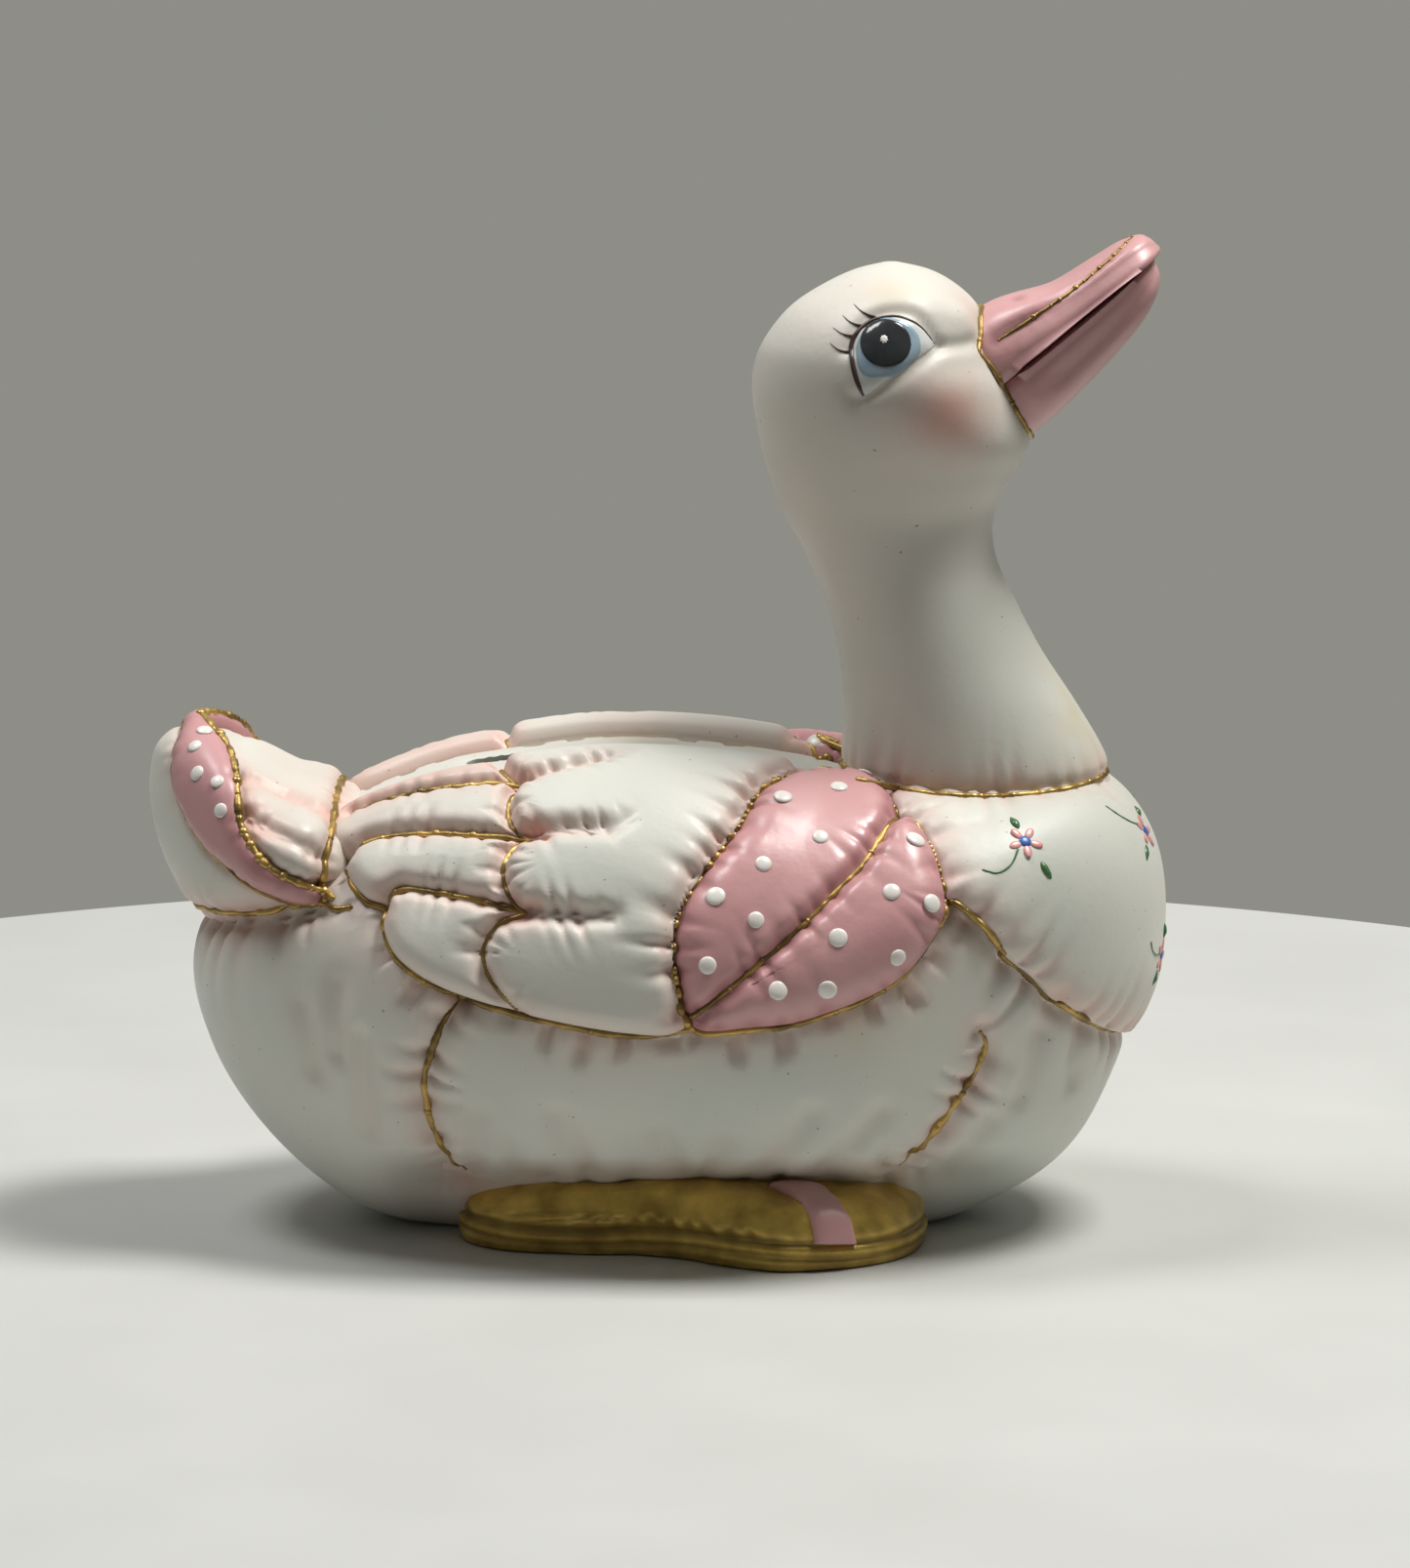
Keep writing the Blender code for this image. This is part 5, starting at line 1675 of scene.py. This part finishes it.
strokes("gold_feather_seams", [(line, ends_thin(len(line))) for line in feather_gilding], "gold",
        Width=0.6 * MM, Unevenness=0.35, Bead=1.45, BeadGap=3.1 * MM)
strokes("gold_feather_tips", [(line, ends_thin(len(line), 0.7)) for line in tip_gilding], "gold",
        Width=0.52 * MM, Bead=1.1)
strokes("gold_patch_seam", [(side_line(PATCH_MIDDLE_SEAM), 1.0)], "gold",
        Width=0.5 * MM, Bead=1.3, BeadGap=3.4 * MM)

# %% Gold lines on the tail and the bill
def tail_line(points, lift=SUNK):
    """A line on the tail, laid on the finished surface."""
    points = evenly(smooth_path(points), 0.5)
    return laid(points, points - TAIL_HEART, lift)[0]


BILL_RING = [
    (54.9, 0, 161), (55.3, -3.3, 160.2), (54.9, -8.1, 158.3), (54.5, -10.6, 156.1), (54.9, -11.6, 153.8),
    (56.2, -11.6, 151.9), (57.6, -11.2, 150.4), (58.8, -10.8, 148.4), (61, -9.2, 144.1), (62.6, -6, 141),
    (63.2, -3, 139.6), (63.3, 0, 139.2),
]
bill_way = np.array((cos(BILL_TILT), 0, sin(BILL_TILT)))
bill_root = np.array((BILL_ROOT[0], 0, BILL_ROOT[1]))


def off_bill_axis(points):
    """The way out from the bill's axis at each point."""
    return points - bill_root - ((points - bill_root) @ bill_way)[:, None] * bill_way


ring_points = evenly(smooth_path(BILL_RING), 0.5)
stitch_points = evenly(smooth_path(BILL_STITCH), 0.5)
tail_gilding = [
    (tail_line(TAIL_REAR), 0.9), (tail_line(TAIL_JOIN), 1.1),
    (tail_line(TAIL_SEAM + [(-51, -32.6, 60.5)]), 1.0),
]
strokes("gold_tail_lines", tail_gilding, "gold", Width=0.62 * MM, Unevenness=0.5, Bead=1.2)
strokes("gold_tail_stitches", [(tail_line(TAIL_FRONT[:-1] + [(-54, -31, 61.6)]), 1.0)], "gold",
        Width=0.72 * MM, Unevenness=0.6, Bead=1.5, BeadGap=2.6 * MM)
strokes("gold_bill_ring", [(laid(ring_points, off_bill_axis(ring_points), -0.1)[0], 1.0)], "gold",
        Width=0.52 * MM, Bead=1.3, BeadGap=2.6 * MM)
stitch_share = np.interp(np.arange(len(stitch_points)), [0, 8, 50, len(stitch_points)], [0.6, 1.0, 1.0, 0.55])
stitch_path = laid(stitch_points, off_bill_axis(stitch_points), -0.12)[0]
strokes("gold_bill_stitches", [(stitch_path, stitch_share)], "gold",
        Width=0.4 * MM, Bead=1.6, BeadGap=1.7 * MM)

# %% [markdown]
# ## Raised dots
# The white spots are drops of thick enamel, so each is a low dome. A tree stands one dome on every
# marked point, turned to the surface, with a size that varies by a few hundredths.

# %% The dot tree
UPPER_DOTS = [
    (21, 41.7), (31, 46.3), (27.8, 32.2), (17.7, 26.7), (10, 21), (16.6, 17), (8.8, 9.6), (27.6, 58),
    (36, 57),
]
LOWER_DOTS = [(44, 32.4), (39.6, 21.7), (46, 20.6), (30.7, 13.8), (40, 11.5), (28.5, 5.8), (20.6, 5.4)]
BAND_DOTS = [
    (-76.6, -9, 85.8), (-78.4, -13, 84.6), (-78, -17.8, 81.2), (-74, -20, 79.8), (-73.8, -24.4, 76.2),
]
dot_tree = Tree("raised_dots", Size=0.0015, Height=0.33, Variation=0.1, Seed=SEED, Finish=white_enamel)
given = dot_tree.given
drop = dot_tree.add("GeometryNodeMeshUVSphere", {"Segments": 28, "Rings": 12, "Radius": 1.0}).outputs[0]
flat = dot_tree.add("ShaderNodeCombineXYZ", {"X": 1.0, "Y": 1.0, "Z": given["Height"]}).outputs[0]
drop = dot_tree.add("GeometryNodeTransform", {"Geometry": drop, "Scale": flat}).outputs[0]
facing = dot_tree.attribute("facing", "FLOAT_VECTOR")
turned_up = dot_tree.add("FunctionNodeAlignRotationToVector", {"Vector": facing}, axis="Z")
vary = dot_tree.add("FunctionNodeRandomValue", {"Seed": given["Seed"]}, data_type="FLOAT")
vary.inputs[2].default_value, vary.inputs[3].default_value = -1.0, 1.0
factor = dot_tree.math("ADD", dot_tree.math("MULTIPLY", vary.outputs[1], given["Variation"]), 1.0)
dot_size = dot_tree.math("MULTIPLY", factor, given["Size"])
dot_size = dot_tree.math("MULTIPLY", dot_size, dot_tree.attribute("size", "FLOAT"))
dots = dot_tree.add(
    "GeometryNodeInstanceOnPoints",
    {"Points": given["Geometry"], "Instance": drop, "Rotation": turned_up.outputs[0], "Scale": dot_size},
)
dot_tree.close(dots.outputs[0])


def both_sides(places, normals):
    """Add the far side's twins to points and their normals."""
    return np.vstack((places, places * (1, -1, 1))), np.vstack((normals, normals * (1, -1, 1)))


def lay_dots(name, places, normals, sizes, slot, **values):
    """Stand domes on points of both sides."""
    places, normals = both_sides(places, normals)
    carrier = points_object(name + "_points", places, facing=normals, size=np.tile(sizes, 2))
    drawn = dot_tree.grow(carrier, name, **values)
    settle(drawn, slot)
    print(name, len(places), "drops")
    return drawn


dot_points, dot_facing = side_surface(UPPER_DOTS + LOWER_DOTS)
band_points_at = np.array(BAND_DOTS)
dot_places, dot_normals = laid(dot_points, dot_facing)
band_places, band_normals = laid(band_points_at, band_points_at - TAIL_HEART)
all_places, all_normals = np.vstack((dot_places, band_places)), np.vstack((dot_normals, band_normals))
all_sizes = np.array([1.0] * len(dot_places) + [0.85] * len(band_places))
lay_dots("white_dots", all_places, all_normals, all_sizes, "bisque", Size=1.55 * MM, Finish=white_enamel)

# %% [markdown]
# ## Painted flowers
# Each flower is five coral strokes round a blue drop, with two leaves and a tendril. The petals are
# one stroke turned five times, which is what the painter's wrist does.

# %% Petals, hearts, leaves and tendrils
FLOWERS = [(62.2, -30.1, 70.5), (83.3, -9.6, 69.2), (86.5, -9.5, 48)]
LEAVES = [
    [(61.6, -29, 72.6), (60.4, -26.8, 75.6)], [(64.6, -31.5, 68.2), (66.8, -32.6, 65.4)],
    [(83, -7.6, 71.2), (82.6, -5.2, 73.2)], [(83.6, -12.6, 67.6), (83.6, -15.4, 65.2)],
    [(87, -8.6, 50.4), (87.2, -7.6, 53.6)], [(86.2, -11, 45.8), (84.6, -12.4, 43)],
]
TENDRILS = [
    [(61, -31.6, 69.8), (59.4, -33.2, 67.6), (57.2, -35, 66.8), (55.2, -36, 67.6)],
    [(82, -11.4, 70.6), (80.2, -13.6, 71.4), (78.2, -15.2, 72.8), (76.8, -15.8, 74.6)],
    [(86, -11.2, 48.6), (85, -13.6, 49), (84.2, -15.4, 50.2), (84, -16.4, 51.8)],
]
petal_tree = Tree(
    "petals", Count=5, Length=0.0014, Width=0.0008, Thickness=0.00022, Gap=0.0022, Finish=coral_enamel,
)
stroke = petal_tree.add("GeometryNodeMeshUVSphere", {"Segments": 14, "Rings": 8, "Radius": 1.0}).outputs[0]
given = petal_tree.given
shape = petal_tree.add(
    "ShaderNodeCombineXYZ", {"X": given["Length"], "Y": given["Width"], "Z": given["Thickness"]}
).outputs[0]
stroke = petal_tree.add("GeometryNodeTransform", {"Geometry": stroke, "Scale": shape}).outputs[0]
wheel = petal_tree.add("GeometryNodeMeshCircle", {"Vertices": given["Count"], "Radius": given["Gap"]})
order = petal_tree.add("GeometryNodeInputIndex").outputs[0]
turn = petal_tree.math("MULTIPLY", petal_tree.math("DIVIDE", order, given["Count"]), 2 * pi)
turn_up = petal_tree.add("ShaderNodeCombineXYZ", {"Z": turn}).outputs[0]
spun = petal_tree.add("FunctionNodeEulerToRotation", {0: turn_up}).outputs[0]
corolla = petal_tree.add(
    "GeometryNodeInstanceOnPoints", {"Points": wheel.outputs[0], "Instance": stroke, "Rotation": spun}
).outputs[0]
facing = petal_tree.attribute("facing", "FLOAT_VECTOR")
stand = petal_tree.add("FunctionNodeAlignRotationToVector", {"Vector": facing}, axis="Z")
blooms = petal_tree.add(
    "GeometryNodeInstanceOnPoints",
    {"Points": given["Geometry"], "Instance": corolla, "Rotation": stand.outputs[0]},
)
petal_tree.close(blooms.outputs[0])
flower_at = np.array(FLOWERS)
flower_places, flower_normals = laid(flower_at, body_skin.facing(flower_at))
petal_places, petal_normals = both_sides(flower_places, flower_normals)
flower_petals = petal_tree.grow(
    points_object("flower_points", petal_places, facing=petal_normals), "flower_petals",
    Length=1.25 * MM, Width=0.72 * MM, Thickness=0.2 * MM, Gap=1.95 * MM,
)
settle(flower_petals, "rose")
heart_sizes = np.ones(len(FLOWERS))
lay_dots("flower_hearts", flower_places, flower_normals, heart_sizes, "bisque",
         Size=1.05 * MM, Finish=blue_enamel)
leaf_paths = []
for leaf in LEAVES:
    line = body_line(leaf, -0.3)
    leaf_paths.append((line, np.sin(np.linspace(0.35, pi - 0.15, len(line)))))
strokes("flower_leaves", leaf_paths, "bisque", Width=0.78 * MM, Bead=0.5, Wobble=0.0, Finish=green_enamel)
tendril_paths = [(body_line(line, -0.04), 1.0) for line in TENDRILS]
strokes("flower_tendrils", tendril_paths, "bisque",
        Width=0.19 * MM, Bead=0.9, Wobble=0.1 * MM, Finish=green_enamel)

# %% [markdown]
# ## The eyes
# An eye is four thin coats: white, blue-grey, near-black, and one drop of white as a painted highlight.
# Each coat is a small panel laid on the face, a little higher than the one below. A dark line closes
# the lids, and four lashes sweep back from it.

# %% Coats of an eye
def face_surface(chart):
    """Points and normals of the face at (x, height) places, from the near side."""
    chart = np.asarray(chart, float)
    start = np.stack((chart[:, 0], np.full(len(chart), -20.0), chart[:, 1]), 1)
    return laid(start, np.tile((0.0, -1.0, 0.0), (len(chart), 1)), 0.0, 30.0)


def coat(name, outline, middle, finish, lift, spacing=0.25):
    """A thin domed coat of enamel on the face, and its twin."""
    outline = np.asarray(outline, float)
    brim = Seam(face_surface(evenly(outline, 0.2, closed=True))[0], closed=True)

    def relief(chart, base):
        return lift * rounded(beside(base, [brim])[0], 0.5) + 0.02, {}

    near = panel(name, outline, np.array(middle), face_surface, relief, finish, 14, spacing, sink=0.3)
    far = mirror_piece(name.replace("right", "left"), name)
    settle(near, "bisque")
    settle(far, "bisque")


def oval(middle, half_x, half_z, tilt=0.0):
    """An oval outline in the (x, height) view."""
    turn = np.linspace(0, 2 * pi, 60, endpoint=False)
    x, z = half_x * np.cos(turn), half_z * np.sin(turn)
    return np.stack((middle[0] + x * cos(tilt) - z * sin(tilt), middle[1] + x * sin(tilt) + z * cos(tilt)), 1)


LID_LINE = [
    (35.3, 147), (34.2, 149.6), (33.5, 152.6), (33.5, 155.6), (34.8, 157.7), (37.2, 159.3), (40.5, 159.9),
    (43.2, 159.3), (45.4, 157.8), (47.4, 155.2),
]
IRIS = [
    (34.1, 152.6), (34.3, 155.8), (36.2, 158.6), (39.4, 159.8), (42.6, 159), (44.8, 156.8), (45, 154),
    (43.4, 152.4), (40.6, 150.4), (37.8, 149.9), (35.2, 150.4),
]
EYE_WHITE = LID_LINE + [(46, 154), (43.6, 152.6), (41.2, 151), (38.4, 149.2)]
coat("right_eye_white", smooth_path(EYE_WHITE, closed=True, steps=6), (39, 154), eye_white_enamel, 0.12)
coat("right_eye_iris", smooth_path(IRIS, closed=True, steps=6), (39.4, 154.4), iris_enamel, 0.2)
coat("right_eye_pupil", oval((39.1, 155.6), 4.35, 3.95), (39.1, 155.6), pupil_enamel, 0.34)
# The white drop on the pupil is a painted highlight.
coat("right_eye_glint", oval((38.8, 156.3), 0.75, 0.75), (38.8, 156.3), white_enamel, 0.48, 0.12)

# %% Lids and lashes
LASHES = [
    [(37.4, 159.7), (36.2, 160.1), (35, 160.7), (33.8, 161.7)],
    [(35.3, 158.3), (34.2, 158.5), (33, 159), (31.9, 159.9)],
    [(34.1, 156.7), (33, 156.7), (31.6, 157.1), (30.3, 157.9)],
    [(33.4, 154.2), (32.4, 154.1), (31, 154.5), (29.7, 155.5)],
]
duck_tree = surface_tree(["neck_and_head_cast"])
lid_places = face_surface(evenly(smooth_path(LID_LINE), 0.4))[0]
lid_share = np.interp(np.linspace(0, 1, len(lid_places)), [0, 0.1, 0.4, 0.7, 1], [0.5, 1.0, 0.95, 0.6, 0.3])
strokes("eye_lids", [(lid_places, lid_share)], "bisque",
        Width=0.5 * MM, Unevenness=0.1, Wobble=0.0, Bead=0.8, Finish=lash_enamel)
lash_paths = []
for lash in LASHES:
    line = face_surface(evenly(smooth_path(lash), 0.3))[0]
    lash_paths.append((line, np.linspace(1, 0.15, len(line))))
strokes("eye_lashes", lash_paths, "bisque",
        Width=0.3 * MM, Unevenness=0.1, Wobble=0.0, Bead=0.5, Finish=lash_enamel)

# %% [markdown]
# ## The rubber stopper
# The stopper is turned, so it is a profile spun round its axis: a flange with a soft edge that sits
# in the foot's recess, a pull ring moulded under it, and a hollow plug that grips the hole.

# %% Turn the stopper
STOPPER_PROFILE = [
    (0, 1.2), (5, 1.2), (5.6, 1.0), (6.2, 0.75), (7.6, 0.7), (8.2, 0.95), (9, 1.05), (12.4, 1.05), (13, 0.85),
    (13.6, 0.72), (15, 0.7), (15.5, 0.85), (15.7, 1.3), (15.7, 2.4), (15.4, 2.7), (12.9, 2.7), (12.6, 3.0),
    (12.5, 5), (12.7, 5.6), (12.5, 6.2), (12.3, 9.6), (11.9, 10.4), (11.2, 10.5), (10, 10.5), (9.7, 10.2),
    (9.6, 4), (9.2, 3.7), (0, 3.7),
]
TURN_STEPS = 96
spin = 2 * pi * np.arange(TURN_STEPS) / TURN_STEPS
stopper_rings = []
for radius, level in STOPPER_PROFILE[1:-1]:
    ring = np.stack((STOPPER_X + radius * np.cos(spin), radius * np.sin(spin), np.full(TURN_STEPS, level)), 1)
    stopper_rings.append(ring)
ends = [(STOPPER_X, 0, STOPPER_PROFILE[0][1]), (STOPPER_X, 0, STOPPER_PROFILE[-1][1])]
stopper_points, stopper_faces = stacked(stopper_rings, ends)
stopper = make_piece("stopper_rubber", stopper_points, stopper_faces, rubber)
settle(stopper, "rubber", "stopper", body="stopper")
print("stopper:", len(stopper.data.polygons), "faces")

# %% [markdown]
# ## Floor, light and camera
# The figure stands on a pale table in front of a grey room. Two soft lights hang steeply above it,
# so the back and the wings are bright and the upright sides fall into gentle shade, lit by the
# table. The stronger one on the right throws the long shadow to the left. The room is lighter
# behind the figure than in front of it. The camera looks slightly down, from far enough away to
# keep the figure's proportions.

# %% The table
TABLE_RADIUS = 0.292
TABLE_GAP = 0.0003
TABLE_PALE, TABLE_PALER = (0.55, 0.555, 0.535), (0.59, 0.595, 0.575)
table_mesh = bpy.data.meshes.new("table_top")
table_bm = bmesh.new()
bmesh.ops.create_circle(table_bm, cap_ends=True, segments=256, radius=TABLE_RADIUS)
bmesh.ops.translate(table_bm, vec=(0, 0, CAD_BOX[0][2] - TABLE_GAP), verts=table_bm.verts)
table_bm.to_mesh(table_mesh)
table_bm.free()
table_top = bpy.data.objects.new("table_top", table_mesh)
bpy.context.scene.collection.objects.link(table_top)
table_paint, table_tree, table_shader = shader_nodes("pale_table")
table_colour = mixed(table_tree, cloud(table_tree, 18, 2, 0.3, 0.7), TABLE_PALE, TABLE_PALER)
table_tree.links.new(table_colour, table_shader.inputs["Base Color"])
table_shader.inputs["Roughness"].default_value = 0.55
clear = table_tree.nodes.new("ShaderNodeBsdfTransparent")
face_side = table_tree.nodes.new("ShaderNodeNewGeometry")
two_sides = table_tree.nodes.new("ShaderNodeMixShader")
table_tree.links.new(face_side.outputs["Backfacing"], two_sides.inputs["Fac"])
table_tree.links.new(table_shader.outputs["BSDF"], two_sides.inputs[1])
table_tree.links.new(clear.outputs["BSDF"], two_sides.inputs[2])
table_output = table_tree.nodes["Material Output"]
table_tree.links.new(two_sides.outputs["Shader"], table_output.inputs["Surface"])
table_mesh.materials.append(table_paint)

# %% The room's light
ROOM_EDGE = 0.8
ROOM_FRONT, ROOM_BACK = 0.06, 0.27
ROOM_COLOUR = (1.0, 1.0, 0.9, 1)
LAMPS_AIM = (0, 0, 0.07)
world = bpy.data.worlds.new("grey_room")
bpy.context.scene.world = world
world.use_nodes = True
room = world.node_tree.nodes["Background"]
direction = world.node_tree.nodes.new("ShaderNodeTexCoord")
split = world.node_tree.nodes.new("ShaderNodeSeparateXYZ")
levels = world.node_tree.nodes.new("ShaderNodeMapRange")
levels.inputs["From Min"].default_value = -ROOM_EDGE
levels.inputs["From Max"].default_value = ROOM_EDGE
levels.inputs["To Min"].default_value = ROOM_FRONT
levels.inputs["To Max"].default_value = ROOM_BACK
world.node_tree.links.new(direction.outputs["Generated"], split.inputs["Vector"])
world.node_tree.links.new(split.outputs["Y"], levels.inputs["Value"])
world.node_tree.links.new(levels.outputs["Result"], room.inputs["Strength"])
room.inputs["Color"].default_value = ROOM_COLOUR


def soft_light(name, place, energy, size, colour):
    """A square light that points at the middle of the figure."""
    light = bpy.data.lights.new(name, "AREA")
    light.energy, light.size, light.color = energy, size, colour
    lamp = bpy.data.objects.new(name, light)
    lamp.location = place
    lamp.rotation_euler = (Vector(LAMPS_AIM) - Vector(place)).to_track_quat("-Z", "Y").to_euler()
    bpy.context.scene.collection.objects.link(lamp)


soft_light("lamp_right", (0.50, 0.02, 1.25), 16.5, 0.36, (1.0, 0.99, 0.95))
soft_light("lamp_left", (-0.46, 0.06, 1.25), 7.0, 0.38, (0.98, 0.99, 1.0))

# %% The camera
LOOK_AT = PLACE + np.array((8.6, 0, 76.3)) * MM
CAMERA_DISTANCE = 1100 * MM
CAMERA_RISE = radians(10.5)
LENS = 145.0
camera_data = bpy.data.cameras.new("camera")
camera_data.lens = LENS
camera_data.clip_start = 0.01
camera = bpy.data.objects.new("camera", camera_data)
camera.location = Vector(LOOK_AT) + CAMERA_DISTANCE * Vector((0, -cos(CAMERA_RISE), sin(CAMERA_RISE)))
camera.rotation_euler = (pi / 2 - CAMERA_RISE, 0, 0)
bpy.context.scene.collection.objects.link(camera)
bpy.context.scene.camera = camera
bpy.context.scene.view_settings.view_transform = "Standard"
